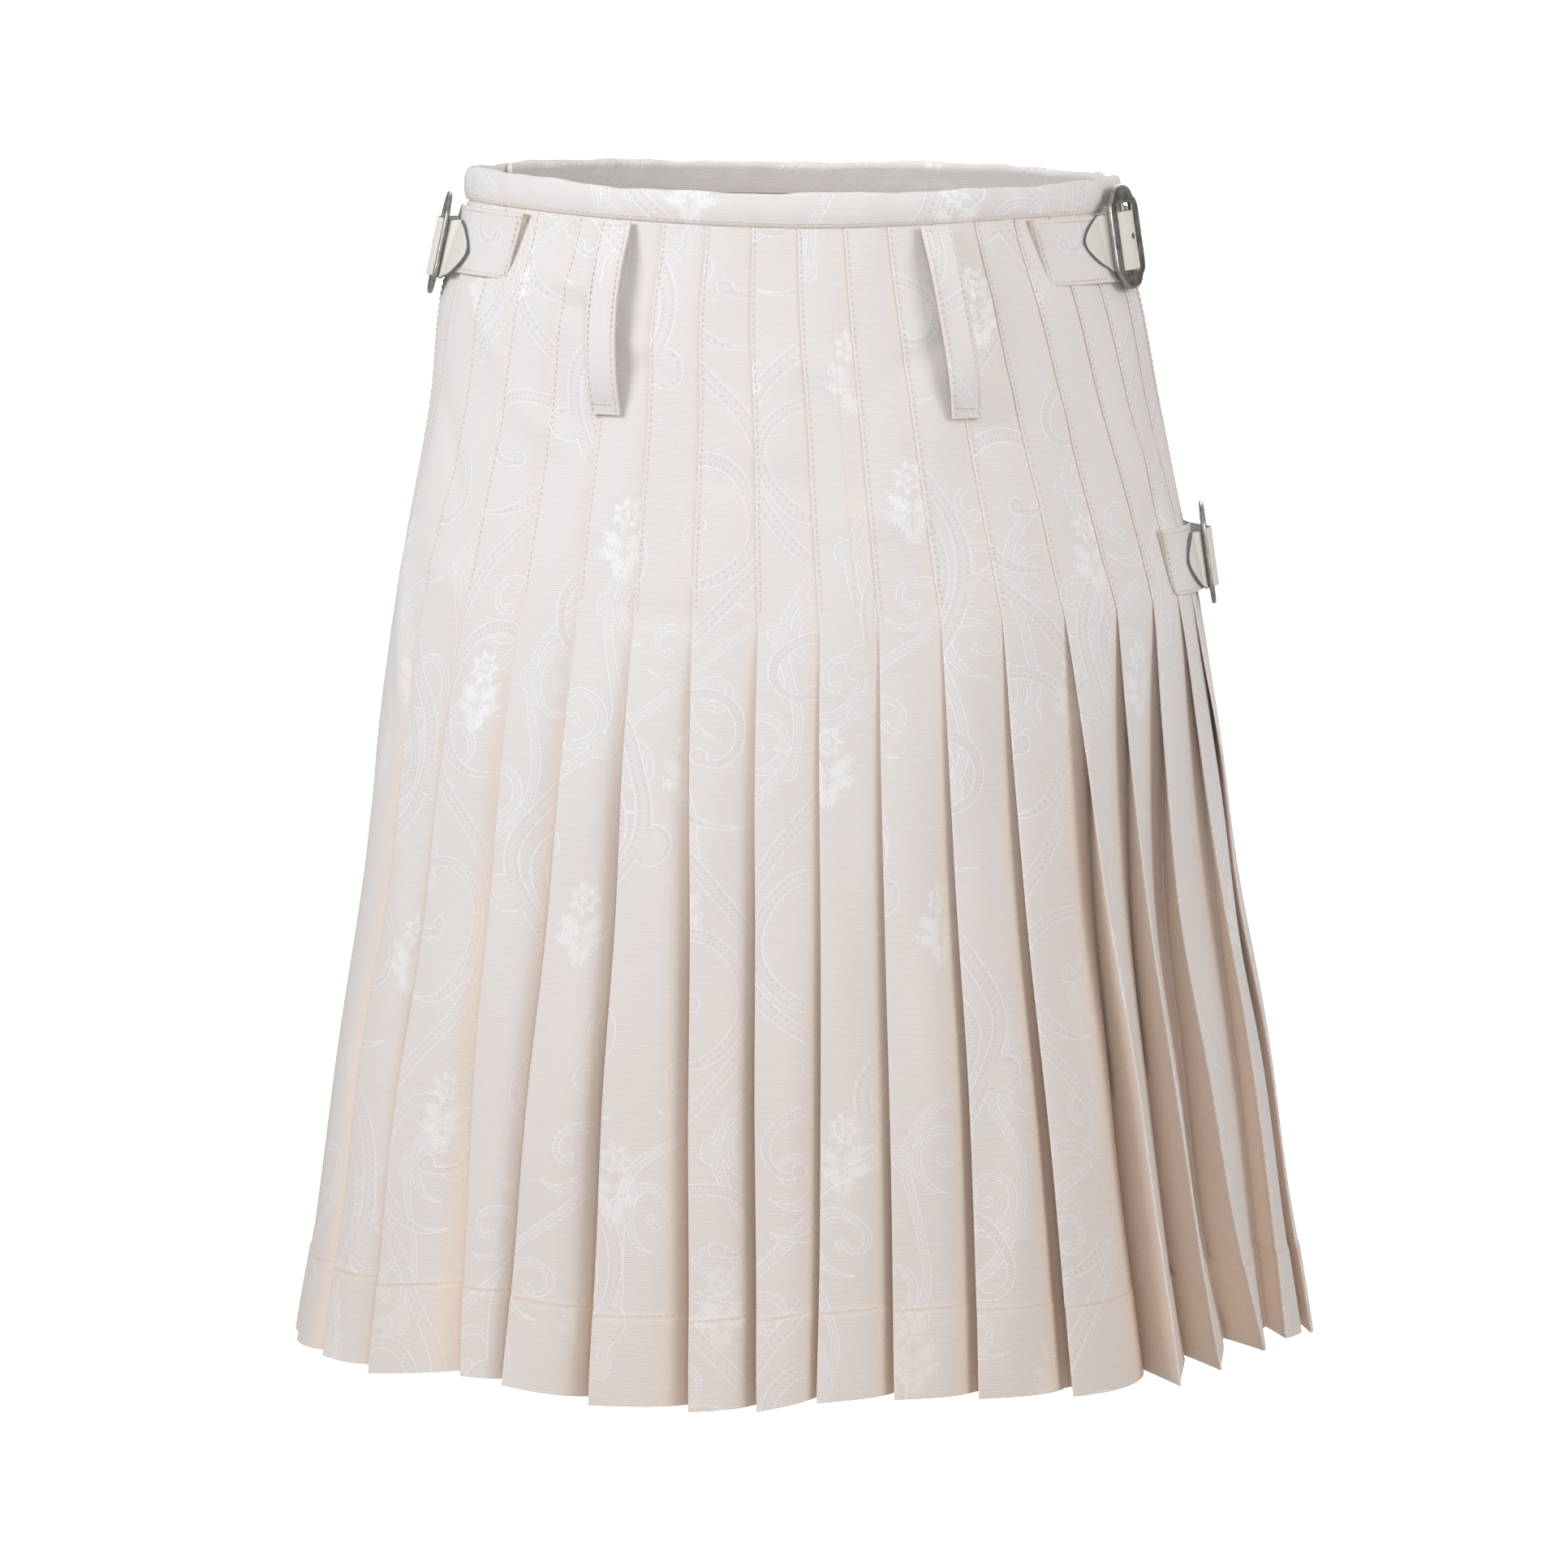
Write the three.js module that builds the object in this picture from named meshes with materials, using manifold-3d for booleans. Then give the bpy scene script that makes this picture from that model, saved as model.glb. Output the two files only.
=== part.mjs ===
// A pleated knee-length kilt of ivory brocade, hollow as when worn, fastened by three buckled leather straps.
// Millimetres. +Z is up, +Y is the wearer's front, +X is the wearer's right, and the pleats are at the back.
// The origin is the middle of the waist, at half the height of the waistband.
import * as THREE from "three";
import { mergeVertices } from "three/addons/utils/BufferGeometryUtils.js";
import Module from "manifold-3d";

const DEGREE = Math.PI / 180;

// Waistband
const BAND_HEIGHT = 16;
const BAND_THICKNESS = 3;
const BAND_OFFSET = 3;
const BAND_INNER_OFFSET = -1.2;
const BAND_TURN_FROM = 104;
const BAND_TURN_TO = 78;
const BAND_STEP = 7.5;
const BAND_EDGE_ROUNDING = 1.5;

// Skirt. Drops are measured down from the waist seam.
const SEAM_GAP = 0.3;
const SEAM_Z = -BAND_HEIGHT / 2;
const SKIRT_LENGTH = 560;
const HEM_LENGTH = 552;
const FELL_DROP = 190;
const CLOTH = 1.1;
const FOLD_WIDTH = 1.75;
const FELL_FALL = 2 * FOLD_WIDTH;
const FOLD_OFFSET = 3.4;
const FELL_TUCK = 0.62;
const HEM_TUCK_RISE = 3;
const HEM_FACE_RISE = 2;

// Plan of the skirt: half its width, and its depth behind and before the widest line, at each drop.
const PLAN = [
  { drop: 0, halfWidth: 156, back: 120, front: 114, shift: -2.5 },
  { drop: 43, halfWidth: 167.5, back: 125, front: 121, shift: -3 },
  { drop: 95, halfWidth: 175, back: 131, front: 126, shift: -1.5 },
  { drop: 150, halfWidth: 186, back: 137, front: 130, shift: -1 },
  { drop: 190, halfWidth: 193.5, back: 142, front: 133, shift: -0.5 },
  { drop: 215, halfWidth: 197.5, back: 145, front: 134.5, shift: -0.3 },
  { drop: 255, halfWidth: 203, back: 150, front: 137, shift: 0 },
  { drop: 336, halfWidth: 213, back: 160, front: 142, shift: 1.6 },
  { drop: 420, halfWidth: 228, back: 171, front: 147, shift: 2.5 },
  { drop: 500, halfWidth: 239, back: 182, front: 152, shift: 3 },
  { drop: 560, halfWidth: 248.5, back: 190, front: 156, shift: 2.5 },
];

// How far the waist seam stands above its level at the centre back, by angle round the waist.
const SEAM_RISE = [
  { angle: -180, rise: 2 },
  { angle: -120, rise: 5 },
  { angle: -60, rise: 6.5 },
  { angle: -30, rise: 3 },
  { angle: 0, rise: 0 },
  { angle: 45, rise: 2.5 },
  { angle: 90, rise: 1.5 },
  { angle: 180, rise: 2 },
];

// One row for each pleat, from the wearer's left to the right. waist, fell, middle and hem are the angles of its
// fold from the centre back. length is the fold's drop at the hem, out how far the fold stands out there, fall how
// far the cloth before it lies behind the fold, roll how late that cloth turns in, and tuck the share of the face
// that hides the inner fold.
const PLEATS = [
  { waist: -84, fell: -97, middle: -99, hem: -98, length: 556, out: 0, fall: 8, roll: 1.4, tuck: 0.5 },
  { waist: -71.5, fell: -83, middle: -86, hem: -84, length: 556, out: 0, fall: 8, roll: 1.4, tuck: 0.5 },
  { waist: -60.5, fell: -67, middle: -70, hem: -69.5, length: 555, out: -1, fall: 5, roll: 1.6, tuck: 0.5 },
  { waist: -50.5, fell: -54.5, middle: -57.5, hem: -56.5, length: 556, out: 1, fall: 20, roll: 1.5, tuck: 0.4 },
  { waist: -40, fell: -42.5, middle: -44, hem: -41, length: 550, out: 0, fall: 7, roll: 1.5, tuck: 0.5 },
  { waist: -31, fell: -32.5, middle: -34.5, hem: -35, length: 552, out: 1, fall: 12, roll: 1.5, tuck: 0.5 },
  { waist: -23, fell: -23.5, middle: -24.5, hem: -24, length: 558, out: 1, fall: 15, roll: 1.6, tuck: 0.5 },
  { waist: -15, fell: -14.8, middle: -14, hem: -12.5, length: 559, out: 1, fall: 12, roll: 1.6, tuck: 0.5 },
  { waist: -7, fell: -5.5, middle: -5.8, hem: -5, length: 558, out: 1, fall: 12, roll: 1.5, tuck: 0.5 },
  { waist: 0.8, fell: 3.1, middle: 2.3, hem: 1.5, length: 554, out: 0, fall: 7, roll: 1.4, tuck: 0.5 },
  { waist: 8.8, fell: 11.5, middle: 10.5, hem: 10, length: 553, out: 0, fall: 8, roll: 1.5, tuck: 0.5 },
  { waist: 16.5, fell: 20.5, middle: 20.3, hem: 19.5, length: 554, out: 0, fall: 9, roll: 1.5, tuck: 0.5 },
  { waist: 24.8, fell: 30, middle: 30.3, hem: 31, length: 556, out: 0, fall: 12, roll: 1.6, tuck: 0.45 },
  { waist: 33.2, fell: 41, middle: 43.8, hem: 46, length: 557, out: 1, fall: 28, roll: 2, tuck: 0.12 },
  { waist: 41.8, fell: 51.7, middle: 50.8, hem: 53.5, length: 553, out: 0, fall: 24, roll: 0.8, tuck: 0.12 },
  { waist: 50.8, fell: 61.7, middle: 58, hem: 63.5, length: 549, out: -1, fall: 24, roll: 0.8, tuck: 0.12 },
  { waist: 60.3, fell: 70, middle: 73.5, hem: 72, length: 548, out: -3, fall: 15, roll: 1, tuck: 0.2 },
  { waist: 71, fell: 79, middle: 84, hem: 85, length: 553, out: 0, fall: 9, roll: 1.4, tuck: 0.4 },
  { waist: 82.5, fell: 90, middle: 95, hem: 96, length: 553, out: 0, fall: 7, roll: 1.4, tuck: 0.4 },
];
const LAST_EDGE = { waist: 98, fell: 103, middle: 106, hem: 107, length: 551 };
const JOINED_PLEAT = 9;
const FACE_SHARES = [0, 1 / 3, 2 / 3, 1];
const LEAST_MITRE = 0.5;

// Aprons
const UNDER_OFFSET = -1.2;
const UNDER_END_ANGLE = 245;
const OVER_OFFSET = 3;
const OVER_HEM_OFFSET = 6;
const OVER_FREE_ANGLE = -254;
const OVER_TURN_ANGLE = -116;
const APRON_STEP = 6;

// Belt loops: a folded strip sewn at both ends
const LOOP_WIDTH = 16;
const LOOP_THICKNESS = 2;
const LOOP_CLEARANCE = 12;
const LOOP_TOP_DROP = 1;
const LOOP_LENGTH = 95;
const LOOPS = [
  { name: "belt_loop_left", topAngle: -32.7, bottomAngle: -30.5 },
  { name: "belt_loop_right", topAngle: 26.1, bottomAngle: 27.3 },
];
// share is along the loop, and lift is a share of the clearance.
const LOOP_RISE = [
  { share: 0, lift: 0 },
  { share: 0.06, lift: 0.03 },
  { share: 0.14, lift: 0.5 },
  { share: 0.23, lift: 0.92 },
  { share: 0.36, lift: 1 },
  { share: 0.62, lift: 1 },
  { share: 0.77, lift: 0.86 },
  { share: 0.87, lift: 0.42 },
  { share: 0.94, lift: 0.03 },
  { share: 1, lift: 0 },
];

// Buckles, straps and their cloth tabs
const PLATE_HEIGHT = 51;
const PLATE_WIDTH = 37;
const PLATE_END_WIDTH = 19;
const PLATE_SHOULDER = 9;
const SHOULDER_PULL = 1;
const END_CROWN = 1.6;
const OUTLINE_SEGMENTS = 5;
const PLATE_THICKNESS = 2.2;
const PLATE_BEVEL = 0.45;
const WINDOW_HEIGHT = 33;
const WINDOW_WIDTH = 20;
const PLATE_OFFSET = 11.6;
const BAR_RADIUS = 1.1;
const BAR_LIFT = -0.4;
const BAR_SIDES = 10;
const BAR_SEATING = 2;
const PLATE_UPRIGHT = 0.3;
const STRAP_WIDTH = 29;
const STRAP_THICKNESS = 2.2;
const STRAP_OFFSET = 7.8;
const STRAP_DROP = 1.9;
const STRAP_LAID_FROM = 24;
const STRAP_STEP = 12;
const TAB_THICKNESS = 1.4;
const TAB_GAP = 0.9;
const TAB_OFFSET = FOLD_OFFSET + (CLOTH + TAB_THICKNESS) / 2 + TAB_GAP;
const TAB_WIDTH = 33;
const TAB_END = 3.6;
const TAB_STEP = 6;
const POINT_LENGTH = 12;
const POINT_HALF_WIDTH = 0.8;
const POINT_SHARES = [0, 0.25, 0.5, 0.75];

// drop is the middle of the plate, front is +1 where the strap comes from larger angles, tip how far the point
// reaches past the middle, start how far the sewn end lies from it, and tab how far the tab reaches.
const BUCKLES = [
  { name: "waist_left", angle: -86.5, drop: 21, front: -1, tip: 43, start: 64, tab: 78, tabDrop: 18, slant: 7 },
  { name: "waist_right", angle: 72, drop: 11.5, front: 1, tip: 35, start: 88, tab: 63, tabDrop: 17, slant: 8 },
  { name: "hip_right", angle: 88, drop: 170, front: 1, tip: 37, start: 57, tab: 57, tabDrop: 171, slant: 5 },
];

// The strap's way through the buckle: along is from the tip towards the sewn end, and lift is off the plate.
const STRAP_WAY = [
  { along: -16, lift: -2.6 },
  { along: -10, lift: -2.7 },
  { along: -8, lift: -1.6 },
  { along: -5.5, lift: 1.9 },
  { along: -2.5, lift: 4.1 },
  { along: 2.5, lift: 4.1 },
  { along: 5.5, lift: 1.9 },
  { along: 8, lift: -1.6 },
  { along: 10, lift: -2.7 },
  { along: 16, lift: -2.6 },
];

const brocade = { color: 0xece2d8, roughness: 0.7, metalness: 0 };
const leather = { color: 0xe6dfcd, roughness: 0.6, metalness: 0 };
const pewter = { color: 0x8d8a85, roughness: 0.4, metalness: 1 };

const wasm = await Module();
wasm.setup();

// Straight-line reading of a column of a table.
function readTable(table, key, column, value) {
  const next = table.findIndex((row) => row[key] >= value);
  if (next === 0) return table[0][column];
  if (next < 0) return table[table.length - 1][column];
  const low = table[next - 1];
  const high = table[next];
  const share = (value - low[key]) / (high[key] - low[key]);
  return THREE.MathUtils.lerp(low[column], high[column], share);
}

// A point on the worn form, at an angle in degrees, pushed out by an offset.
function formPoint(angle, drop, offset, length = HEM_LENGTH) {
  const turned = THREE.MathUtils.euclideanModulo(angle + 180, 360) - 180;
  const radians = turned * DEGREE;
  const halfWidth = readTable(PLAN, "drop", "halfWidth", drop);
  const side = Math.cos(radians) > 0 ? "back" : "front";
  const depth = readTable(PLAN, "drop", side, drop);
  const normal = new THREE.Vector3(Math.sin(radians) / halfWidth, -Math.cos(radians) / depth, 0).normalize();
  const rise = readTable(SEAM_RISE, "angle", "rise", turned) * (1 - Math.max(drop, 0) / SKIRT_LENGTH);
  return new THREE.Vector3(
    halfWidth * Math.sin(radians) + readTable(PLAN, "drop", "shift", drop),
    -depth * Math.cos(radians),
    SEAM_Z + rise - (drop * length) / SKIRT_LENGTH,
  ).addScaledVector(normal, offset);
}

// How much a pleat has opened below the stitched fell, from 0 to 1.
function opening(drop) {
  const share = Math.max(0, (drop - FELL_DROP) / (SKIRT_LENGTH - FELL_DROP));
  return share * (2 - share);
}

// The angle of a fold: straight in the fell, a curve through the middle and the hem below it.
function foldAngle(row, drop) {
  if (drop <= FELL_DROP) return THREE.MathUtils.lerp(row.waist, row.fell, drop / FELL_DROP);
  const share = (drop - FELL_DROP) / (SKIRT_LENGTH - FELL_DROP);
  const fromFell = row.fell * (1 - share) * (1 - 2 * share);
  const fromMiddle = row.middle * 4 * share * (1 - share);
  const fromHem = row.hem * share * (2 * share - 1);
  return fromFell + fromMiddle + fromHem;
}

// What a pleat measures at a drop.
function pleatAt(index, drop) {
  const row = PLEATS[index];
  const open = opening(drop);
  const next = PLEATS[index + 1] ?? LAST_EDGE;
  return {
    angle: foldAngle(row, drop),
    nextAngle: foldAngle(next, drop),
    offset: FOLD_OFFSET + row.out * open,
    fallBefore: FELL_FALL + (row.fall - FELL_FALL) * open,
    roll: 1 + (row.roll - 1) * open,
    tuck: FELL_TUCK + (row.tuck - FELL_TUCK) * open,
    length: row.length,
    nextLength: next.length,
  };
}

// Offset of the face of a pleat at a share of its width, less than 1 before the next fold.
function faceOffset(index, drop, share) {
  const pleat = pleatAt(index, drop);
  const last = index === PLEATS.length - 1;
  const next = last ? null : pleatAt(index + 1, drop);
  const end = last ? UNDER_OFFSET : next.offset - next.fallBefore;
  const roll = last ? 1 : next.roll;
  return pleat.offset + (end - pleat.offset) * share ** roll;
}

// The inner fold hidden under a pleat: where it lies and how deep.
function innerFold(index, drop) {
  const pleat = pleatAt(index, drop);
  const angle = THREE.MathUtils.lerp(pleat.angle, pleat.nextAngle, pleat.tuck);
  const offset = faceOffset(index, drop, pleat.tuck) - pleat.fallBefore;
  return { angle, offset, length: pleat.length - HEM_TUCK_RISE };
}

// The cloth that goes back from the inner fold to the outer one, under the pleat's face.
function returnStations(index, drop, foldWidth = FOLD_WIDTH) {
  const pleat = pleatAt(index, drop);
  const inner = innerFold(index, drop);
  const from = { angle: inner.angle, offset: inner.offset + foldWidth, length: inner.length };
  const to = { angle: pleat.angle, offset: pleat.offset - FOLD_WIDTH, length: pleat.length };
  const middle = {
    angle: (from.angle + to.angle) / 2,
    offset: (from.offset + to.offset) / 2,
    length: (from.length + to.length) / 2,
  };
  return [from, middle, to];
}

// The face of a pleat, from its fold to where the next fold covers it.
function faceStations(index, drop) {
  const pleat = pleatAt(index, drop);
  return FACE_SHARES.map((share) => ({
    angle: THREE.MathUtils.lerp(pleat.angle, pleat.nextAngle, share),
    offset: faceOffset(index, drop, share),
    length: THREE.MathUtils.lerp(pleat.length, pleat.nextLength - HEM_FACE_RISE, share),
  }));
}

// The stations round the cloth for a run of pleats, from the return under the first to the inner fold of the last.
function pleatStations(first, last, drop) {
  const stations = [];
  for (let index = first; index <= last; index++) {
    stations.push(...returnStations(index, drop, index === first ? CLOTH + SEAM_GAP : FOLD_WIDTH));
    stations.push(...faceStations(index, drop));
    if (index + 1 < PLEATS.length) stations.push(innerFold(index + 1, drop));
  }
  return stations;
}

function overApronStations(drop) {
  const share = drop / SKIRT_LENGTH;
  const flat = THREE.MathUtils.lerp(OVER_OFFSET, OVER_HEM_OFFSET, share);
  const stations = [];
  for (let angle = OVER_FREE_ANGLE; angle <= OVER_TURN_ANGLE; angle += APRON_STEP) {
    stations.push({ angle, offset: flat, length: HEM_LENGTH });
  }
  const first = pleatAt(0, drop);
  const covered = first.offset - first.fallBefore;
  stations.push({ angle: (OVER_TURN_ANGLE + first.angle) / 2, offset: (flat + covered) / 2, length: HEM_LENGTH });
  stations.push({ angle: first.angle, offset: covered, length: first.length - HEM_FACE_RISE });
  stations.push(innerFold(0, drop));
  return stations;
}

function underApronStations(drop) {
  const start = foldAngle(LAST_EDGE, drop) + SEAM_GAP / readTable(PLAN, "drop", "front", drop) / DEGREE;
  const count = Math.round((UNDER_END_ANGLE - LAST_EDGE.waist) / APRON_STEP);
  const stations = [];
  for (let step = 0; step <= count; step++) {
    const angle = THREE.MathUtils.lerp(start, UNDER_END_ANGLE, step / count);
    stations.push({ angle, offset: UNDER_OFFSET, length: LAST_EDGE.length - HEM_FACE_RISE });
  }
  return stations;
}

function buildMesh(name, positions, triangles, finish) {
  const geometry = new THREE.BufferGeometry();
  geometry.setAttribute("position", new THREE.Float32BufferAttribute(positions.flatMap((p) => p.toArray()), 3));
  const volume = triangles.reduce((sum, [a, b, c]) => {
    const cross = new THREE.Vector3().crossVectors(positions[b], positions[c]);
    return sum + positions[a].dot(cross);
  }, 0);
  const facing = volume < 0 ? triangles.map(([a, b, c]) => [a, c, b]) : triangles;
  geometry.setIndex(facing.flat());
  geometry.computeVertexNormals();
  const mesh = new THREE.Mesh(geometry, new THREE.MeshStandardMaterial(finish));
  mesh.name = name;
  return mesh;
}

// A closed body between two grids of the same size, one on each side of the cloth.
function closedGrid(name, outer, inner, finish) {
  const rows = outer.length;
  const columns = outer[0].length;
  const positions = [...outer.flat(), ...inner.flat()];
  const top = (row, column) => row * columns + column;
  const under = (row, column) => rows * columns + top(row, column);
  const triangles = [];
  const quad = (a, b, c, d) => triangles.push([a, b, c], [a, c, d]);
  for (let row = 0; row + 1 < rows; row++) {
    for (let column = 0; column + 1 < columns; column++) {
      quad(top(row, column), top(row, column + 1), top(row + 1, column + 1), top(row + 1, column));
      quad(under(row, column), under(row + 1, column), under(row + 1, column + 1), under(row, column + 1));
    }
    quad(top(row, 0), top(row + 1, 0), under(row + 1, 0), under(row, 0));
    const end = columns - 1;
    quad(top(row, end), under(row, end), under(row + 1, end), top(row + 1, end));
  }
  for (let column = 0; column + 1 < columns; column++) {
    quad(top(0, column), under(0, column), under(0, column + 1), top(0, column + 1));
    const end = rows - 1;
    quad(top(end, column), top(end, column + 1), under(end, column + 1), under(end, column));
  }
  return buildMesh(name, positions, triangles, finish);
}

// How far and which way a corner of a bent line moves so that the line's sides move out by 1.
function mitre(before, after) {
  const mean = before.clone().add(after).normalize();
  return mean.divideScalar(Math.max(mean.dot(after), LEAST_MITRE));
}

function planNormal(from, to) {
  return new THREE.Vector3(to.y - from.y, from.x - to.x, 0).normalize();
}

// The two sides of a cloth wall round a line of points at one level.
function wallSides(points, thickness) {
  const outer = [];
  const inner = [];
  points.forEach((point, index) => {
    const before = points[Math.max(index - 1, 0)];
    const after = points[Math.min(index + 1, points.length - 1)];
    const first = index > 0 ? planNormal(before, point) : planNormal(point, after);
    const second = index + 1 < points.length ? planNormal(point, after) : first;
    const out = mitre(first, second).multiplyScalar(thickness / 2);
    outer.push(point.clone().add(out));
    inner.push(point.clone().sub(out));
  });
  return { outer, inner };
}

// A cloth wall through the rings of the plan. stationsAt gives the stations round the cloth at a drop.
function clothWall(name, stationsAt) {
  const outer = [];
  const inner = [];
  for (const { drop } of PLAN) {
    const points = stationsAt(drop).map((s) => formPoint(s.angle, drop, s.offset, s.length));
    points.forEach((point) => (point.z -= SEAM_GAP));
    const sides = wallSides(points, CLOTH);
    outer.push(sides.outer);
    inner.push(sides.inner);
  }
  return closedGrid(name, outer, inner, brocade);
}

// A strip along a line of points, each with the direction across the strip and half its width there.
function strip(name, stations, thickness, finish) {
  const outer = [];
  const inner = [];
  const normalAt = (from, to, across) => to.clone().sub(from).cross(across).normalize();
  stations.forEach(({ point, across, halfWidth }, index) => {
    const before = stations[Math.max(index - 1, 0)].point;
    const after = stations[Math.min(index + 1, stations.length - 1)].point;
    const first = index > 0 ? normalAt(before, point, across) : normalAt(point, after, across);
    const second = index + 1 < stations.length ? normalAt(point, after, across) : first;
    const out = mitre(first, second).multiplyScalar(thickness / 2);
    const edges = [-halfWidth, halfWidth].map((reach) => point.clone().addScaledVector(across, reach));
    outer.push(edges.map((edge) => edge.clone().add(out)));
    inner.push(edges.map((edge) => edge.clone().sub(out)));
  });
  return closedGrid(name, outer, inner, finish);
}

// Waistband: one folded strip that starts inside at the under apron and ends outside at the over apron.
function waistband() {
  const half = BAND_THICKNESS / 2;
  const low = -BAND_HEIGHT / 2;
  const high = BAND_HEIGHT / 2;
  const profile = [
    { out: -half, up: low },
    { out: half, up: low },
    { out: half, up: high - BAND_EDGE_ROUNDING },
    { out: half / 2, up: high },
    { out: -half / 2, up: high },
    { out: -half, up: high - BAND_EDGE_ROUNDING },
  ];
  const positions = [];
  const triangles = [];
  const count = Math.round((UNDER_END_ANGLE - OVER_FREE_ANGLE) / BAND_STEP);
  for (let step = 0; step <= count; step++) {
    const angle = THREE.MathUtils.lerp(UNDER_END_ANGLE, OVER_FREE_ANGLE, step / count);
    const offset = bandOffset(angle);
    for (const corner of profile) {
      const point = formPoint(angle, 0, offset + corner.out);
      point.z += corner.up - SEAM_Z;
      positions.push(point);
    }
  }
  const sides = profile.length;
  for (let step = 0; step < count; step++) {
    for (let side = 0; side < sides; side++) {
      const a = step * sides + side;
      const b = step * sides + ((side + 1) % sides);
      triangles.push([a, b, b + sides], [a, b + sides, a + sides]);
    }
  }
  const end = count * sides;
  for (let side = 1; side + 1 < sides; side++) {
    triangles.push([0, side + 1, side], [end, end + side, end + side + 1]);
  }
  return buildMesh("waistband", positions, triangles, brocade);
}

// The band lies inside over the under apron and outside from the wearer's right hip on.
function bandOffset(angle) {
  const share = THREE.MathUtils.smoothstep(-angle, -BAND_TURN_FROM, -BAND_TURN_TO);
  return THREE.MathUtils.lerp(BAND_INNER_OFFSET, BAND_OFFSET, share);
}

function beltLoop({ name, topAngle, bottomAngle }) {
  const base = FOLD_OFFSET + (CLOTH + LOOP_THICKNESS) / 2 + SEAM_GAP;
  const stations = LOOP_RISE.map(({ share, lift }) => {
    const angle = THREE.MathUtils.lerp(topAngle, bottomAngle, share);
    const drop = LOOP_TOP_DROP + share * LOOP_LENGTH;
    const point = formPoint(angle, drop, base + lift * (LOOP_CLEARANCE - SEAM_GAP));
    const across = formPoint(angle + 1, drop, base).sub(formPoint(angle - 1, drop, base));
    across.z = 0;
    return { point, across: across.normalize(), halfWidth: LOOP_WIDTH / 2 };
  });
  return strip(name, stations, LOOP_THICKNESS, brocade);
}

// Where a buckle sits on the form: its middle, the directions along the strap, up and out, and the bend there.
function buckleSeat({ angle, drop, front }) {
  const middle = formPoint(angle, drop, PLATE_OFFSET);
  const along = formPoint(angle + front, drop, PLATE_OFFSET).sub(formPoint(angle - front, drop, PLATE_OFFSET));
  along.z = 0;
  const degreeLength = along.length() / 2;
  along.normalize();
  const up = formPoint(angle, drop - STRAP_WIDTH / 2, 0).sub(formPoint(angle, drop + STRAP_WIDTH / 2, 0));
  up.normalize().lerp(new THREE.Vector3(0, 0, 1), PLATE_UPRIGHT);
  up.addScaledVector(along, -up.dot(along)).normalize();
  const out = new THREE.Vector3().crossVectors(along, up).multiplyScalar(front);
  return { middle, along, up, out, degreeLength };
}

// A point on the form at a distance along the strap from the middle of its buckle.
function strapPoint(buckle, seat, along, offset, drop) {
  return formPoint(buckle.angle + (buckle.front * along) / seat.degreeLength, drop, offset);
}

// The way up the cloth at that point.
function strapUp(buckle, seat, along, drop, halfWidth) {
  const high = strapPoint(buckle, seat, along, 0, drop - halfWidth);
  return high.sub(strapPoint(buckle, seat, along, 0, drop + halfWidth)).normalize();
}

// A point held to the flat plate near the buckle.
function platePoint(seat, along, lift, down) {
  return seat.middle
    .clone()
    .addScaledVector(seat.along, along)
    .addScaledVector(seat.out, lift)
    .addScaledVector(seat.up, -down);
}

function strap(buckle) {
  const seat = buckleSeat(buckle);
  const drop = buckle.drop + STRAP_DROP;
  const half = STRAP_WIDTH / 2;
  const stations = [];
  const lay = (along, halfWidth) => {
    const point = strapPoint(buckle, seat, along, STRAP_OFFSET, drop);
    stations.push({ point, across: strapUp(buckle, seat, along, drop, half), halfWidth });
  };
  for (const share of POINT_SHARES) {
    const width = POINT_HALF_WIDTH + (half - POINT_HALF_WIDTH) * Math.sin((share * Math.PI) / 2);
    lay(-buckle.tip + share * POINT_LENGTH, width);
  }
  for (const { along, lift } of STRAP_WAY) {
    stations.push({ point: platePoint(seat, along, lift, STRAP_DROP), across: seat.up, halfWidth: half });
  }
  for (let along = STRAP_LAID_FROM; along < buckle.start; along += STRAP_STEP) lay(along, half);
  lay(buckle.start, half);
  return strip(`strap_${buckle.name}`, stations, STRAP_THICKNESS, leather);
}

function tab(buckle) {
  const seat = buckleSeat(buckle);
  const half = TAB_WIDTH / 2;
  const stations = [];
  const reach = buckle.tab - TAB_END;
  const count = Math.ceil(reach / TAB_STEP);
  for (let step = 0; step <= count; step++) {
    const along = -buckle.tab + (reach * step) / count;
    const point = strapPoint(buckle, seat, along, TAB_OFFSET, buckle.tabDrop);
    const across = strapUp(buckle, seat, along, buckle.tabDrop, half);
    if (step === 0) across.addScaledVector(seat.along, -buckle.slant / TAB_WIDTH);
    stations.push({ point, across, halfWidth: half });
  }
  return strip(`tab_${buckle.name}`, stations, TAB_THICKNESS, brocade);
}

function manifoldOf(geometry) {
  const bare = geometry.clone();
  bare.deleteAttribute("normal");
  bare.deleteAttribute("uv");
  const merged = mergeVertices(bare, 1e-4);
  const indices = merged.index ? merged.index.array : merged.getAttribute("position").array.map((_, i) => i);
  return new wasm.Manifold(
    new wasm.Mesh({
      numProp: 3,
      vertProperties: merged.getAttribute("position").array,
      triVerts: new Uint32Array(indices),
    }),
  );
}

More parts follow.
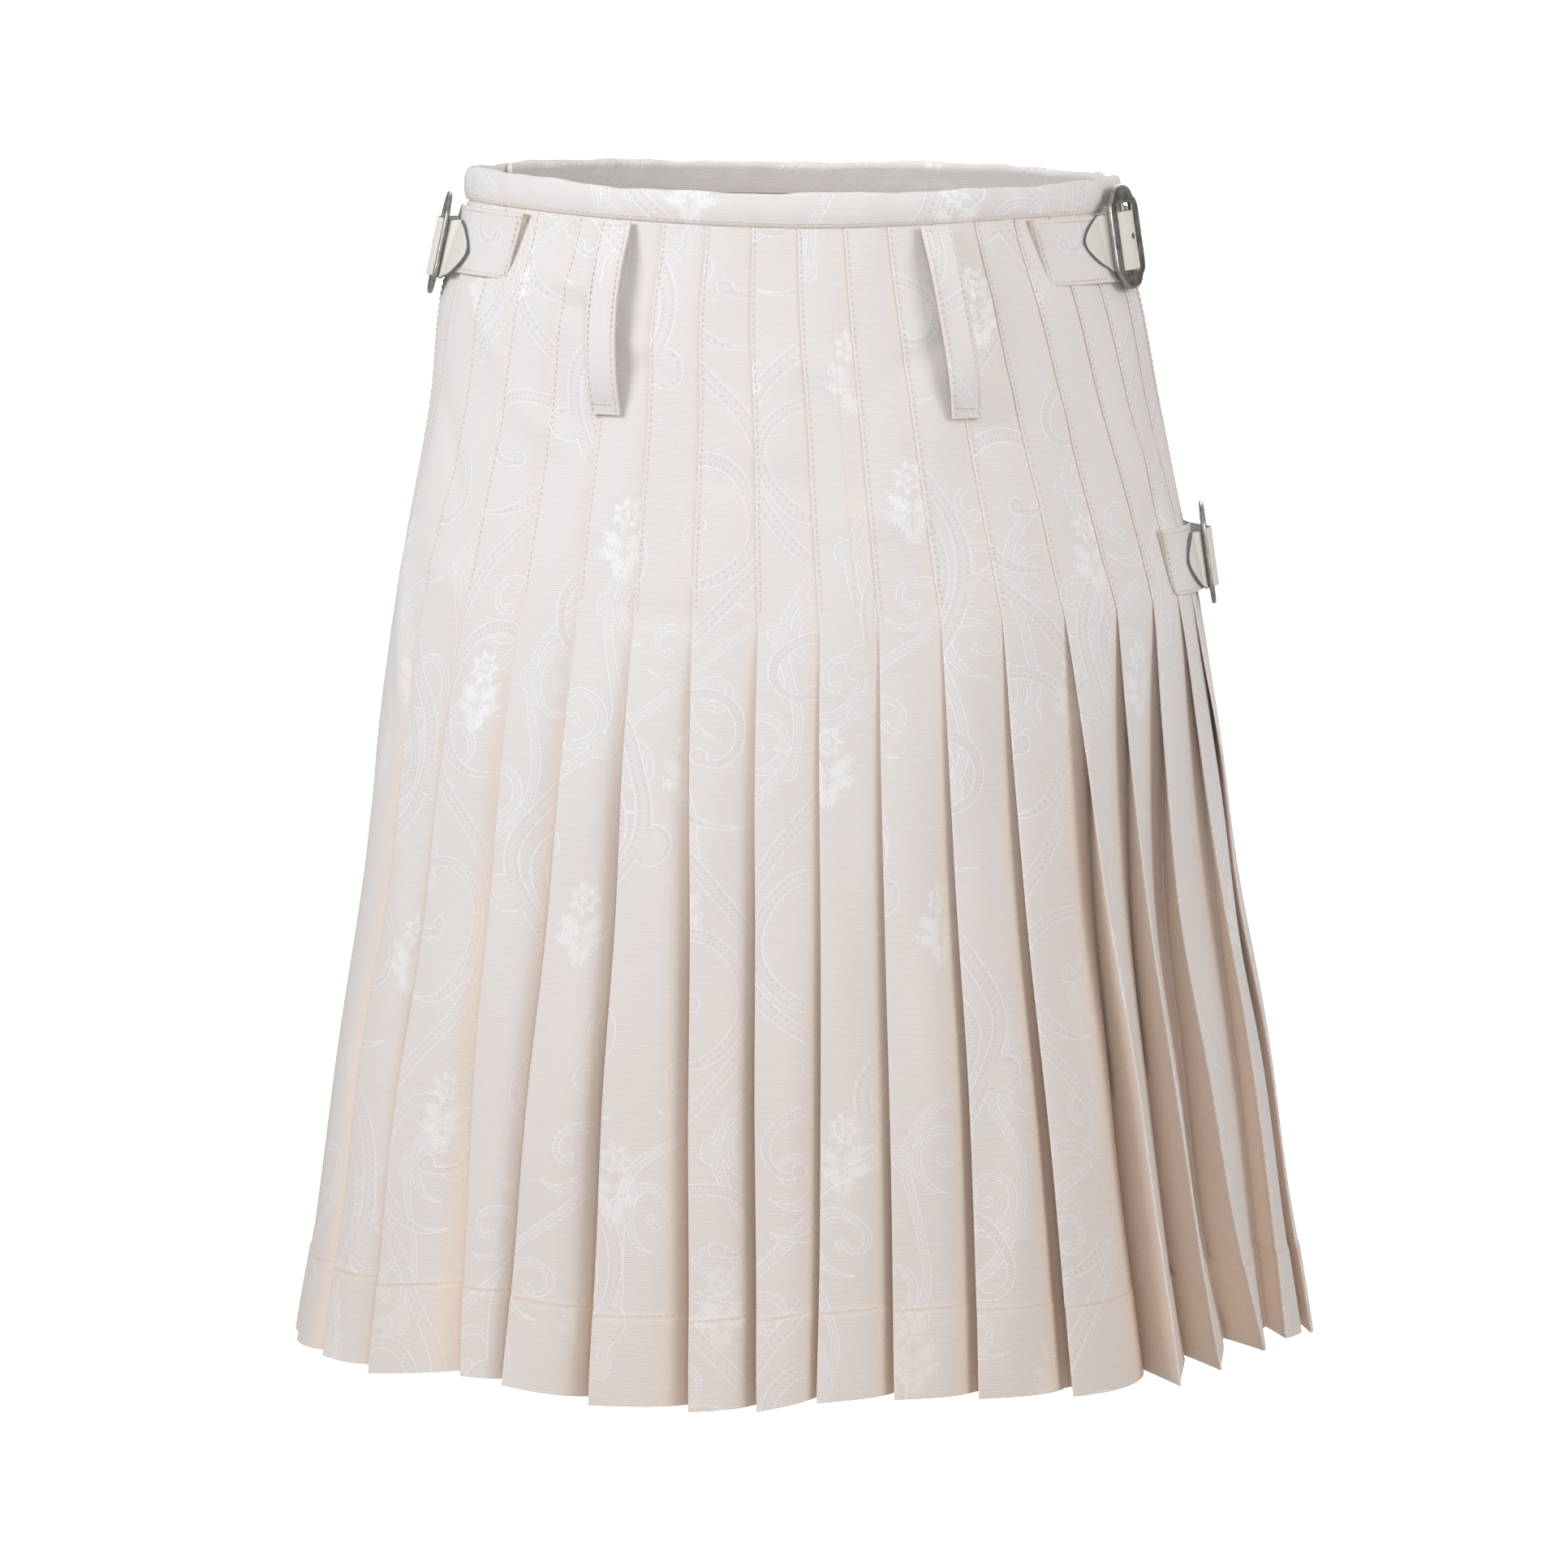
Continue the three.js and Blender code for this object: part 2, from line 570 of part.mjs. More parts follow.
// The cast plate: a shouldered oval with a window, its long side up, and a bar across the window.
function plateGeometry() {
  const halfHeight = PLATE_HEIGHT / 2;
  const halfWidth = PLATE_WIDTH / 2;
  const halfEnd = PLATE_END_WIDTH / 2;
  const shoulder = halfHeight - PLATE_SHOULDER;
  const neck = halfHeight - PLATE_SHOULDER / 2;
  const waist = halfWidth - SHOULDER_PULL;
  const corner = halfHeight - END_CROWN;
  const crown = halfHeight + END_CROWN;
  const outline = new THREE.Shape();
  outline.moveTo(halfWidth, -shoulder);
  outline.lineTo(halfWidth, shoulder);
  outline.quadraticCurveTo(waist, neck, halfEnd, corner);
  outline.quadraticCurveTo(0, crown, -halfEnd, corner);
  outline.quadraticCurveTo(-waist, neck, -halfWidth, shoulder);
  outline.lineTo(-halfWidth, -shoulder);
  outline.quadraticCurveTo(-waist, -neck, -halfEnd, -corner);
  outline.quadraticCurveTo(0, -crown, halfEnd, -corner);
  outline.quadraticCurveTo(waist, -neck, halfWidth, -shoulder);
  const hole = new THREE.Path();
  hole.moveTo(-WINDOW_WIDTH / 2, -WINDOW_HEIGHT / 2);
  hole.lineTo(-WINDOW_WIDTH / 2, WINDOW_HEIGHT / 2);
  hole.lineTo(WINDOW_WIDTH / 2, WINDOW_HEIGHT / 2);
  hole.lineTo(WINDOW_WIDTH / 2, -WINDOW_HEIGHT / 2);
  hole.closePath();
  outline.holes.push(hole);
  const plate = new THREE.ExtrudeGeometry(outline, {
    depth: PLATE_THICKNESS - 2 * PLATE_BEVEL,
    bevelEnabled: true,
    bevelThickness: PLATE_BEVEL,
    bevelSize: PLATE_BEVEL,
    bevelOffset: -PLATE_BEVEL,
    bevelSegments: 1,
    curveSegments: OUTLINE_SEGMENTS,
  });
  plate.translate(0, 0, PLATE_BEVEL - PLATE_THICKNESS / 2);
  const bar = new THREE.CylinderGeometry(BAR_RADIUS, BAR_RADIUS, WINDOW_HEIGHT + 2 * BAR_SEATING, BAR_SIDES);
  bar.translate(0, 0, BAR_LIFT);
  const joined = manifoldOf(plate).add(manifoldOf(bar)).getMesh();
  const geometry = new THREE.BufferGeometry();
  geometry.setAttribute("position", new THREE.BufferAttribute(joined.vertProperties, 3));
  geometry.setIndex(new THREE.BufferAttribute(joined.triVerts, 1));
  return geometry;
}

function buckle(row, geometry) {
  const seat = buckleSeat(row);
  const mesh = new THREE.Mesh(geometry.clone(), new THREE.MeshStandardMaterial(pewter));
  mesh.geometry.computeVertexNormals();
  const across = seat.along.clone().multiplyScalar(row.front);
  const basis = new THREE.Matrix4().makeBasis(across, seat.up, seat.out);
  mesh.applyMatrix4(basis.setPosition(seat.middle));
  mesh.name = `buckle_${row.name}`;
  return mesh;
}

const kilt = new THREE.Group();
kilt.add(waistband());
kilt.add(clothWall("pleats_left", (drop) => pleatStations(0, JOINED_PLEAT - 1, drop)));
kilt.add(clothWall("pleats_right", (drop) => pleatStations(JOINED_PLEAT, PLEATS.length - 1, drop)));
kilt.add(clothWall("over_apron", overApronStations));
kilt.add(clothWall("under_apron", underApronStations));
for (const loop of LOOPS) kilt.add(beltLoop(loop));
const plate = plateGeometry();
for (const row of BUCKLES) kilt.add(tab(row), strap(row), buckle(row, plate));

export default kilt;
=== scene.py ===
"""The looks of a pleated kilt: brocade shells, stitching, leather straps and cast buckles.

Tables and shape functions are in millimetres and degrees, as in the part's own source. Meshes are in
metres.
"""

import math
from functools import partialmethod

import bpy
import numpy as np
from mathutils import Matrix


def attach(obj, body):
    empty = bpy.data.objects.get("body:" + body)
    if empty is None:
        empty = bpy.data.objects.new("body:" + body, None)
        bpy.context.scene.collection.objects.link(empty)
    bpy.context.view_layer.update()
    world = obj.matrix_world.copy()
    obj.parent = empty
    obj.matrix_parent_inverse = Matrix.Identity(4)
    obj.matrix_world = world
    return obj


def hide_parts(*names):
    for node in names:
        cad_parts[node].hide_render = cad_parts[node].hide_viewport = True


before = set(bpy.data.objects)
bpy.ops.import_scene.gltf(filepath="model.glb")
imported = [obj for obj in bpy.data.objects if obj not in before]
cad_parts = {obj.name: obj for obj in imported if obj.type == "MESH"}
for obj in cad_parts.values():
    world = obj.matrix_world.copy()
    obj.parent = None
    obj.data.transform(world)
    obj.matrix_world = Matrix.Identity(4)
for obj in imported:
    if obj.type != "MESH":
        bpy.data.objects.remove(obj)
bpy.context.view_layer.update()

MM = 0.001

# Waistband
BAND_HEIGHT = 16
BAND_THICKNESS = 3
BAND_OFFSET = 3
BAND_INNER_OFFSET = -1.2
BAND_START_ANGLE = 245
BAND_END_ANGLE = -254

# Skirt. Drops are measured down from the waist seam.
SEAM_GAP = 0.3
SEAM_Z = -BAND_HEIGHT / 2
SKIRT_LENGTH = 560
HEM_LENGTH = 552
HEM_DEPTH = 43
HEM_LINE = SKIRT_LENGTH - HEM_DEPTH
FELL_DROP = 190
CLOTH = 0.4
FOLD_WIDTH = 0.5
OPEN_FOLD_WIDTH = 1.3
FELL_FALL = 2 * FOLD_WIDTH
FOLD_OFFSET = 3.4
FELL_TUCK = 0.62
HEM_TUCK_RISE = 3
HEM_FACE_RISE = 2
FACE_ROLL = 2.8
ROLLED_TUCK = 0.3
HEM_STEP = 0.5
FACE_CROWN = 0.45
PLEAT_REPEAT = 97
FELL_STEP = 5
SKIRT_STEP = 6.5

# drop, half width, depth behind, depth before, shift to the wearer's right
PLAN = np.array(
    [
        (-10, 155, 119, 113, -2.5),
        (0, 156, 120, 114, -2.5),
        (43, 167.5, 125, 121, -3),
        (95, 175, 131, 126, -1.5),
        (150, 186, 137, 130, -1),
        (190, 193.5, 142, 133, -0.5),
        (255, 203, 150, 137, 0),
        (336, 213, 160, 142, 1.6),
        (420, 228, 171, 147, 2.5),
        (500, 239, 182, 152, 3),
        (560, 248.5, 190, 156, 2.5),
        (570, 250, 191, 156.5, 2.5),
    ]
)

# angle from the centre back, rise of the waist seam there
SEAM_RISE = np.array(
    [(-180, 2), (-120, 5), (-60, 6.5), (-30, 3), (0, 0), (45, 2.5), (90, 1.5), (180, 2)]
)

# One row for each pleat, from the wearer's left: the angles of its fold at the waist, fell, middle and
# hem, then the fold's length, how far it stands out, how far the cloth before it falls behind it, the roll
# of that cloth and its tuck.
PLEATS = np.array(
    [
        (-84, -97, -99, -98, 556, 0, 8, 1.4, 0.5),
        (-71.5, -83, -86, -84, 556, 0, 8, 1.4, 0.5),
        (-60.5, -67, -70, -69.5, 555, -1, 5, 1.6, 0.5),
        (-50.5, -54.5, -57.5, -56.5, 556, 1, 20, 1.5, 0.4),
        (-40, -42.5, -44, -41, 550, 0, 7, 1.5, 0.5),
        (-31, -32.5, -34.5, -35, 552, 1, 12, 1.5, 0.5),
        (-23, -23.5, -24.5, -24, 558, 1, 15, 1.6, 0.5),
        (-15, -14.8, -14, -12.5, 559, 1, 12, 1.6, 0.5),
        (-7, -5.5, -5.8, -5, 558, 1, 12, 1.5, 0.5),
        (0.8, 3.1, 2.3, 1.5, 554, 0, 7, 1.4, 0.5),
        (8.8, 11.5, 10.5, 10, 553, 0, 8, 1.5, 0.5),
        (16.5, 20.5, 20.3, 19.5, 554, 0, 9, 1.5, 0.5),
        (24.8, 30, 30.3, 31, 556, 0, 12, 1.6, 0.45),
        (33.2, 41, 43.8, 46, 557, 1, 28, 2, 0.12),
        (41.8, 51.7, 50.8, 53.5, 553, 0, 24, 0.8, 0.12),
        (50.8, 61.7, 58, 63.5, 549, -1, 24, 0.8, 0.12),
        (60.3, 70, 73.5, 72, 548, -3, 15, 1, 0.2),
        (71, 79, 84, 85, 553, 0, 9, 1.4, 0.4),
        (82.5, 90, 95, 96, 553, 0, 7, 1.4, 0.4),
    ]
)
LAST_EDGE = np.array((98, 103, 106, 107, 551, 0, 7, 1, 0.4))
JOINED_PLEAT = 9

# Aprons
UNDER_OFFSET = -1.2
UNDER_END_ANGLE = 245
OVER_OFFSET = 3
OVER_HEM_OFFSET = 6
OVER_FREE_ANGLE = -254
OVER_TURN_ANGLE = -116

# Belt loops
LOOP_WIDTH = 16
LOOP_THICKNESS = 2
LOOP_CLEARANCE = 6.8
LOOP_TOP_DROP = 1
LOOP_LENGTH = 92
LOOP_STITCH_LIFT = 0.15
LOOP_BAR_ROWS = (2, 84)
LOOP_BAR_PITCH = 2.4
LOOPS = {"belt_loop_left": (-31.7, -30.5), "belt_loop_right": (24.9, 27.2)}

# share of the loop from its top, share of its clearance
LOOP_RISE = np.array(
    [(0, 0.1), (0.08, 0.4), (0.18, 0.78), (0.3, 0.96), (0.45, 1)]
    + [(0.66, 1), (0.8, 0.84), (0.9, 0.5), (0.96, 0.2), (1, 0.05)]
)

# Buckles, straps and tabs
PLATE_HEIGHT = 51
PLATE_WIDTH = 37
PLATE_THICKNESS = 2.2
PLATE_OFFSET = 11.6
PLATE_UPRIGHT = 0.3
WINDOW_HEIGHT = 33
WINDOW_WIDTH = 20
BAR_RADIUS = 1.1
BAR_LIFT = -0.4
STRAP_WIDTH = 29
STRAP_THICKNESS = 2.2
STRAP_OFFSET = 7.8
STRAP_DROP = 1.9
POINT_LENGTH = 24
TIP_HALF = 0.5
TAB_THICKNESS = 1.1
TAB_OFFSET = 5.55
TAB_WIDTH = 33
TAB_END = 3.6
TAB_SEWN_OFFSET = 5.0
TAB_CORNER = 7
TAB_LIP = 2.2
TAB_STITCH_LIFT = 0.2
BUCKLES = {
    "waist_left": dict(angle=-86.5, drop=21, front=-1, tip=43, start=64, tab=78, tab_drop=18, slant=7),
    "waist_right": dict(angle=72, drop=11.5, front=1, tip=35, start=88, tab=63, tab_drop=17, slant=8),
    "hip_right": dict(angle=88, drop=170, front=1, tip=37, start=57, tab=57, tab_drop=171, slant=5),
}

# along the strap from the buckle's middle, lift off the plate
STRAP_WAY = np.array(
    [(-16, -2.6), (-11, -2.7), (-9, -2), (-6.5, 0.4), (-3, 2.1)]
    + [(3, 2.1), (6.5, 0.4), (9, -2), (11, -2.7), (16, -2.6)]
)

# Creases: the middle's angle and drop, half the length, half the width, the turn from upright
# in degrees, and the depth, which is a ridge above 0 and a trough below.
CREASES = np.array(
    [
        (-36, 34, 26, 5, 78, 0.9),
        (-37, 44, 22, 4, 74, -0.8),
        (-25, 58, 20, 5, 70, 0.7),
        (-28, 72, 16, 4, 108, -0.7),
        (-44, 100, 30, 7, 60, 0.7),
        (30, 40, 20, 5, 104, 0.8),
        (22, 60, 24, 5, 116, -0.8),
        (33, 78, 18, 5, 70, 0.7),
        (4, 66, 26, 8, 86, 0.6),
        (-8, 120, 30, 9, 82, -0.5),
        (12, 140, 26, 8, 96, 0.5),
        (-58, 62, 26, 6, 50, 0.8),
        (-66, 120, 34, 8, 40, -0.8),
        (-62, 176, 30, 8, 68, 0.7),
        (-20, 186, 26, 7, 86, -0.5),
        (42, 150, 34, 7, 30, 0.7),
        (55, 176, 26, 6, 52, -0.7),
        (47, 96, 30, 7, 44, 0.7),
        (66, 120, 30, 7, 36, 0.8),
        (-76, 210, 60, 10, 24, 0.9),
        (-66, 280, 70, 9, 12, -0.8),
        (-50, 250, 60, 8, 8, 0.7),
        (-38, 310, 70, 8, -6, -0.8),
        (-29, 260, 50, 6, 4, 0.6),
        (-18, 350, 80, 7, 3, 0.7),
        (-9, 300, 70, 7, -4, -0.7),
        (-1, 420, 90, 7, -2, 0.7),
        (7, 330, 80, 7, 3, -0.6),
        (16, 400, 90, 8, 2, 0.7),
        (26, 330, 80, 8, -4, -0.7),
        (25, 470, 70, 7, -6, 0.8),
        (-60, 430, 90, 10, 6, 0.9),
        (-46, 440, 80, 9, 2, -0.8),
        (-30, 470, 80, 8, -3, 0.8),
        (78, 320, 90, 10, -8, 0.9),
        (92, 420, 90, 12, -6, -0.9),
        (104, 260, 90, 14, -10, 1.0),
        (128, 60, 40, 9, 70, 0.8),
        (150, 110, 60, 12, 76, -0.8),
        (172, 240, 120, 16, 14, 1.2),
        (-178, 70, 50, 10, 84, 0.8),
        (-160, 300, 130, 18, -8, -1.2),
        (-140, 130, 70, 12, 52, 0.9),
        (-128, 380, 130, 16, -6, 1.2),
        (-108, 240, 100, 12, -16, -0.9),
        (-150, 470, 80, 16, 4, 1.0),
        (160, 450, 100, 18, -3, -1.2),
        (136, 380, 120, 16, 6, 1.0),
    ]
)

CREASE_DEPTH = 1.9

BROCADE_SLOT = "brocade"
LEATHER_SLOT = "leather"
PEWTER_SLOT = "pewter"


def curve(table, column, value):
    """A smooth line through a table's first column and another one."""
    xs = table[:, 0]
    ys = table[:, column]
    slopes = np.gradient(ys, xs)
    value = np.clip(value, xs[0], xs[-1])
    i = np.clip(np.searchsorted(xs, value) - 1, 0, len(xs) - 2)
    width = xs[i + 1] - xs[i]
    t = (value - xs[i]) / width
    start = ys[i] * (1 + 2 * t) * (1 - t) ** 2 + slopes[i] * width * t * (1 - t) ** 2
    end = ys[i + 1] * t**2 * (3 - 2 * t) - slopes[i + 1] * width * t**2 * (1 - t)
    return start + end


def blend(low, high, share):
    return low + (high - low) * share


def smooth_step(value, low, high):
    share = np.clip((value - low) / (high - low), 0, 1)
    return share * share * (3 - 2 * share)


def creases(angle, drop):
    """How far the cloth stands off its form at an angle and a drop."""
    total = 0.35 * np.sin(angle * 0.21 + drop * 0.011) * np.sin(drop * 0.031 + angle * 0.07)
    for middle, level, along, across, turn, depth in CREASES:
        x = ((angle - middle + 180) % 360 - 180) * 3.1
        y = drop - level
        tilt = math.radians(turn)
        forward = (y * math.cos(tilt) + x * math.sin(tilt)) / along
        side = (x * math.cos(tilt) - y * math.sin(tilt)) / across
        total = total + depth * np.exp(-(forward**2) - side**2)
    return total * CREASE_DEPTH * smooth_step(drop, 0, 14)


def form_point(angle, drop, offset, length=HEM_LENGTH, creased=1.0):
    """Points on the worn form, pushed out by an offset."""
    angle, drop, offset, length = np.broadcast_arrays(*map(np.float64, (angle, drop, offset, length)))
    turned = (angle + 180) % 360 - 180
    radians = np.radians(turned)
    half = curve(PLAN, 1, drop)
    depth = np.where(np.cos(radians) > 0, curve(PLAN, 2, drop), curve(PLAN, 3, drop))
    normal_x = np.sin(radians) / half
    normal_y = -np.cos(radians) / depth
    size = np.hypot(normal_x, normal_y)
    out = offset + creased * creases(turned, drop)
    rise = curve(SEAM_RISE, 1, turned) * (1 - np.maximum(drop, 0) / SKIRT_LENGTH)
    x = half * np.sin(radians) + curve(PLAN, 4, drop) + out * normal_x / size
    y = -depth * np.cos(radians) + out * normal_y / size
    z = SEAM_Z + rise - drop * length / SKIRT_LENGTH
    return np.stack([x, y, z], -1) * MM


def plain_point(angle, drop, offset):
    """Points on the worn form without its creases."""
    return form_point(angle, drop, offset, creased=0)


def repeated(row, count):
    """The same row, count times."""
    return np.repeat(np.asarray(row)[None], count, 0)


def unit(vectors):
    return vectors / np.maximum(np.linalg.norm(vectors, axis=-1, keepdims=True), 1e-12)


def opening(drop):
    """How much a pleat has opened below the stitched fell, from 0 to 1."""
    share = np.maximum(0, (drop - FELL_DROP) / (SKIRT_LENGTH - FELL_DROP))
    return share * (2 - share)


def fold_angle(row, drop):
    waist, fell, middle, hem = row[:4]
    in_fell = blend(waist, fell, drop / FELL_DROP)
    share = (drop - FELL_DROP) / (SKIRT_LENGTH - FELL_DROP)
    below = fell * (1 - share) * (1 - 2 * share)
    below = below + middle * 4 * share * (1 - share) + hem * share * (2 * share - 1)
    return np.where(drop <= FELL_DROP, in_fell, below)


class Pleat:
    """What one pleat measures at each drop."""

    def __init__(self, index, drop):
        row = PLEATS[index]
        following = PLEATS[index + 1] if index + 1 < len(PLEATS) else LAST_EDGE
        self.open = opening(drop)
        self.angle = fold_angle(row, drop)
        self.next_angle = fold_angle(following, drop)
        self.width = blend(FOLD_WIDTH, OPEN_FOLD_WIDTH, self.open)
        self.offset = FOLD_OFFSET + row[5] * self.open
        self.fall = FELL_FALL + (row[6] - FELL_FALL) * self.open
        rolled = row[7] * (FACE_ROLL if row[8] > ROLLED_TUCK else 1)
        self.roll = 1 + (rolled - 1) * self.open
        self.tuck = FELL_TUCK + (row[8] - FELL_TUCK) * self.open
        self.length = row[4]
        self.next_length = following[4]


def face_offset(index, drop, share):
    pleat = Pleat(index, drop)
    if index + 1 == len(PLEATS):
        return pleat.offset + (UNDER_OFFSET - pleat.offset) * share
    following = Pleat(index + 1, drop)
    end = following.offset - following.fall
    crown = FACE_CROWN * math.sin(math.pi * np.mean(share)) * (1 - 0.5 * pleat.open)
    return pleat.offset + (end - pleat.offset) * share**following.roll + crown


def inner_fold(index, drop):
    pleat = Pleat(index, drop)
    angle = blend(pleat.angle, pleat.next_angle, pleat.tuck)
    offset = face_offset(index, drop, pleat.tuck) - pleat.fall
    return angle, offset, pleat.length - HEM_TUCK_RISE


def degree_length(angle, drop):
    """Millimetres of cloth in one degree."""
    step = plain_point(angle + 0.5, drop, 0) - plain_point(angle - 0.5, drop, 0)
    return np.linalg.norm(step, axis=-1) / MM


def bend(angle, offset, drop, width, way):
    """Stations round a fold that opens towards one side, from its lower layer to its upper one or back."""
    radius = width / 2
    stations = []
    for turn in np.radians((-60, -30, 0, 30, 60)):
        reach = way * radius * math.cos(turn) / degree_length(angle, drop)
        stations.append((angle + reach, offset + radius * math.sin(turn)))
    return stations


RETURN_SHARES = np.linspace(0, 1, 6)
FACE_SHARES = np.concatenate([np.linspace(0, 0.12, 4), np.linspace(0.2, 0.8, 9), np.linspace(0.86, 1, 4)])
TUCK_SHARES = np.linspace(0, 1, 5)[1:]


def pleat_columns(first, last, drop):
    """Columns of angle, offset and length across a run of pleats, and where its folds are."""
    columns = []
    outer = []
    inner = []
    for index in range(first, last + 1):
        pleat = Pleat(index, drop)
        angle, offset, length = inner_fold(index, drop)
        low = offset + np.maximum(pleat.width, CLOTH + 0.6 if index == first else 0)
        for share in RETURN_SHARES:
            place = blend(angle, pleat.angle, share), blend(low, pleat.offset - pleat.width, share)
            columns.append((*place, blend(length, pleat.length, share)))
        outer.append(len(columns) + 2)
        for place in bend(pleat.angle, pleat.offset - pleat.width / 2, drop, pleat.width, -1):
            columns.append((*place, pleat.length))
        for share in FACE_SHARES:
            turned = blend(pleat.angle, pleat.next_angle, share)
            length = blend(pleat.length, pleat.next_length - HEM_FACE_RISE, share)
            columns.append((turned, face_offset(index, drop, share), length))
        if index + 1 == len(PLEATS):
            continue
        angle, offset, length = inner_fold(index + 1, drop)
        start = columns[-1]
        for share in TUCK_SHARES:
            place = blend(start[0], angle, share), blend(start[1], offset, share)
            columns.append((*place, blend(start[2], length, share)))
        if index == last:
            continue
        inner.append(len(columns) + 2)
        width = Pleat(index + 1, drop).width
        for place in bend(angle, offset + width / 2, drop, width, 1):
            columns.append((*place, length))
    return columns, outer, inner


def wall_of(columns, drop):
    """A grid of points, a row for each drop and a column for each station."""
    step = HEM_STEP * smooth_step(drop, HEM_LINE, HEM_LINE + 1)
    points = [form_point(angle, drop, offset + step, length) for angle, offset, length in columns]
    grid = np.stack(points, 1)
    grid[..., 2] -= SEAM_GAP * MM
    return grid


def grid_normals(grid):
    along = np.gradient(grid, axis=0)
    across = np.gradient(grid, axis=1)
    return unit(np.cross(along, across))


def arc_lengths(grid, axis=1):
    steps = np.linalg.norm(np.diff(grid, axis=axis), axis=-1)
    start = np.zeros_like(np.take(steps, [0], axis=axis))
    return np.concatenate([start, np.cumsum(steps, axis=axis)], axis=axis)


def make_object(name, points, faces, uvs=None, smooth_angle=50, layers=None):
    mesh = bpy.data.meshes.new(name)
    mesh.from_pydata(np.asarray(points).tolist(), [], faces)
    if uvs is not None:
        layer = mesh.uv_layers.new(name="Cloth")
        layer.data.foreach_set("uv", np.asarray(uvs, dtype=np.float32).ravel())
    for key, values in (layers or {}).items():
        attribute = mesh.attributes.new(key, "FLOAT", "POINT")
        attribute.data.foreach_set("value", np.asarray(values, dtype=np.float32))
    mesh.polygons.foreach_set("use_smooth", [True] * len(mesh.polygons))
    mesh.set_sharp_from_angle(angle=math.radians(smooth_angle))
    mesh.validate()
    piece = bpy.data.objects.new(name, mesh)
    bpy.context.scene.collection.objects.link(piece)
    return piece


def grid_faces(rows, columns, start, flip):
    corner = np.arange(rows * columns).reshape(rows, columns) + start
    quads = [corner[:-1, :-1], corner[1:, :-1], corner[1:, 1:], corner[:-1, 1:]]
    faces = np.stack(quads, -1).reshape(-1, 4)
    return faces[:, ::-1] if flip else faces


def shell(name, grid, left_u, right_u, drops, layers):
    """A closed thin shell on a grid. left_u is the pattern's place as seen from a column's left side, and
    right_u from its right side, so that the pattern can start anew at a hidden fold."""
    rows, columns = grid.shape[:2]
    out = grid_normals(grid) * CLOTH * MM / 2
    points = np.concatenate([(grid + out).reshape(-1, 3), (grid - out).reshape(-1, 3)])
    upper = grid_faces(rows, columns, 0, flip=False)
    lower = grid_faces(rows, columns, rows * columns, flip=True)
    ring = [(0, c) for c in range(columns)] + [(r, columns - 1) for r in range(1, rows)]
    ring += [(rows - 1, c) for c in range(columns - 2, -1, -1)] + [(r, 0) for r in range(rows - 2, 0, -1)]
    edge = np.array([r * columns + c for r, c in ring])
    after = np.roll(edge, -1)
    under = rows * columns
    rim = np.stack([edge, edge + under, after + under, after], -1)
    v = -np.broadcast_to(drops, (rows, columns)) * MM
    side_low = np.stack([right_u[:, :-1], v[:, :-1]], -1)
    side_high = np.stack([left_u[:, 1:], v[:, 1:]], -1)
    quad_uv = np.stack([side_low[:-1], side_low[1:], side_high[1:], side_high[:-1]], 2).reshape(-1, 4, 2)
    flat = np.stack([right_u.ravel(), v.ravel()], -1)
    rim_uv = np.stack([flat[edge], flat[edge], flat[after], flat[after]], 1)
    uvs = np.concatenate([quad_uv, quad_uv[:, ::-1], rim_uv])
    faces = np.concatenate([upper, lower, rim])
    doubled = {key: np.tile(values.ravel(), 2) for key, values in layers.items()}
    return make_object(name, points, faces.tolist(), uvs.reshape(-1, 2), layers=doubled)


def finish_piece(piece, material, slot, *nodes):
    piece.data.materials.append(material)
    if nodes:
        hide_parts(*nodes)
    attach(piece, "root")
    return piece


def fill_socket(tree, socket, value):
    """Links a field to a socket, or sets a plain value on it."""
    if isinstance(value, Field):
        tree.links.new(value.socket, socket)
    else:
        socket.default_value = value


class Field:
    """One output in a node tree. Materials are written as sums of fields."""

    def __init__(self, tree, socket):
        self.tree = tree
        self.socket = socket

    def math(self, operation, *others):
        node = self.tree.nodes.new("ShaderNodeMath")
        node.operation = operation
        for place, value in enumerate((self, *others)):
            fill_socket(self.tree, node.inputs[place], value)
        return Field(self.tree, node.outputs[0])

    __add__ = partialmethod(math, "ADD")
    __sub__ = partialmethod(math, "SUBTRACT")
    __mul__ = partialmethod(math, "MULTIPLY")
    __truediv__ = partialmethod(math, "DIVIDE")
    __abs__ = partialmethod(math, "ABSOLUTE")
    least = partialmethod(math, "MINIMUM")
    most = partialmethod(math, "MAXIMUM")
    cycle = partialmethod(math, "FLOORED_MODULO")
    floor = partialmethod(math, "FLOOR")
    sine = partialmethod(math, "SINE")
    cosine = partialmethod(math, "COSINE")

    def ramp(self, low, high, start=0.0, end=1.0):
        """start below low, end above high, and a soft step between them."""
        node = self.tree.nodes.new("ShaderNodeMapRange")
        node.interpolation_type = "SMOOTHSTEP"
        self.tree.links.new(self.socket, node.inputs["Value"])
        node.inputs["From Min"].default_value = low
        node.inputs["From Max"].default_value = high
        node.inputs["To Min"].default_value = start
        node.inputs["To Max"].default_value = end
        return Field(self.tree, node.outputs["Result"])

    def mix(self, low, high):
        """A colour between two, by this field."""
        node = self.tree.nodes.new("ShaderNodeMix")
        node.data_type = "RGBA"
        self.tree.links.new(self.socket, node.inputs["Factor"])
        for place, colour in (("A", low), ("B", high)):
            socket = next(s for s in node.inputs if s.name == place and s.type == "RGBA")
            fill_socket(self.tree, socket, colour if isinstance(colour, Field) else (*colour, 1))
        result = next(s for s in node.outputs if s.type == "RGBA")
        return Field(self.tree, result)


def combined(x, y):
    """The length of two fields taken as the sides of a right angle."""
    return (x * x + y * y).math("SQRT")


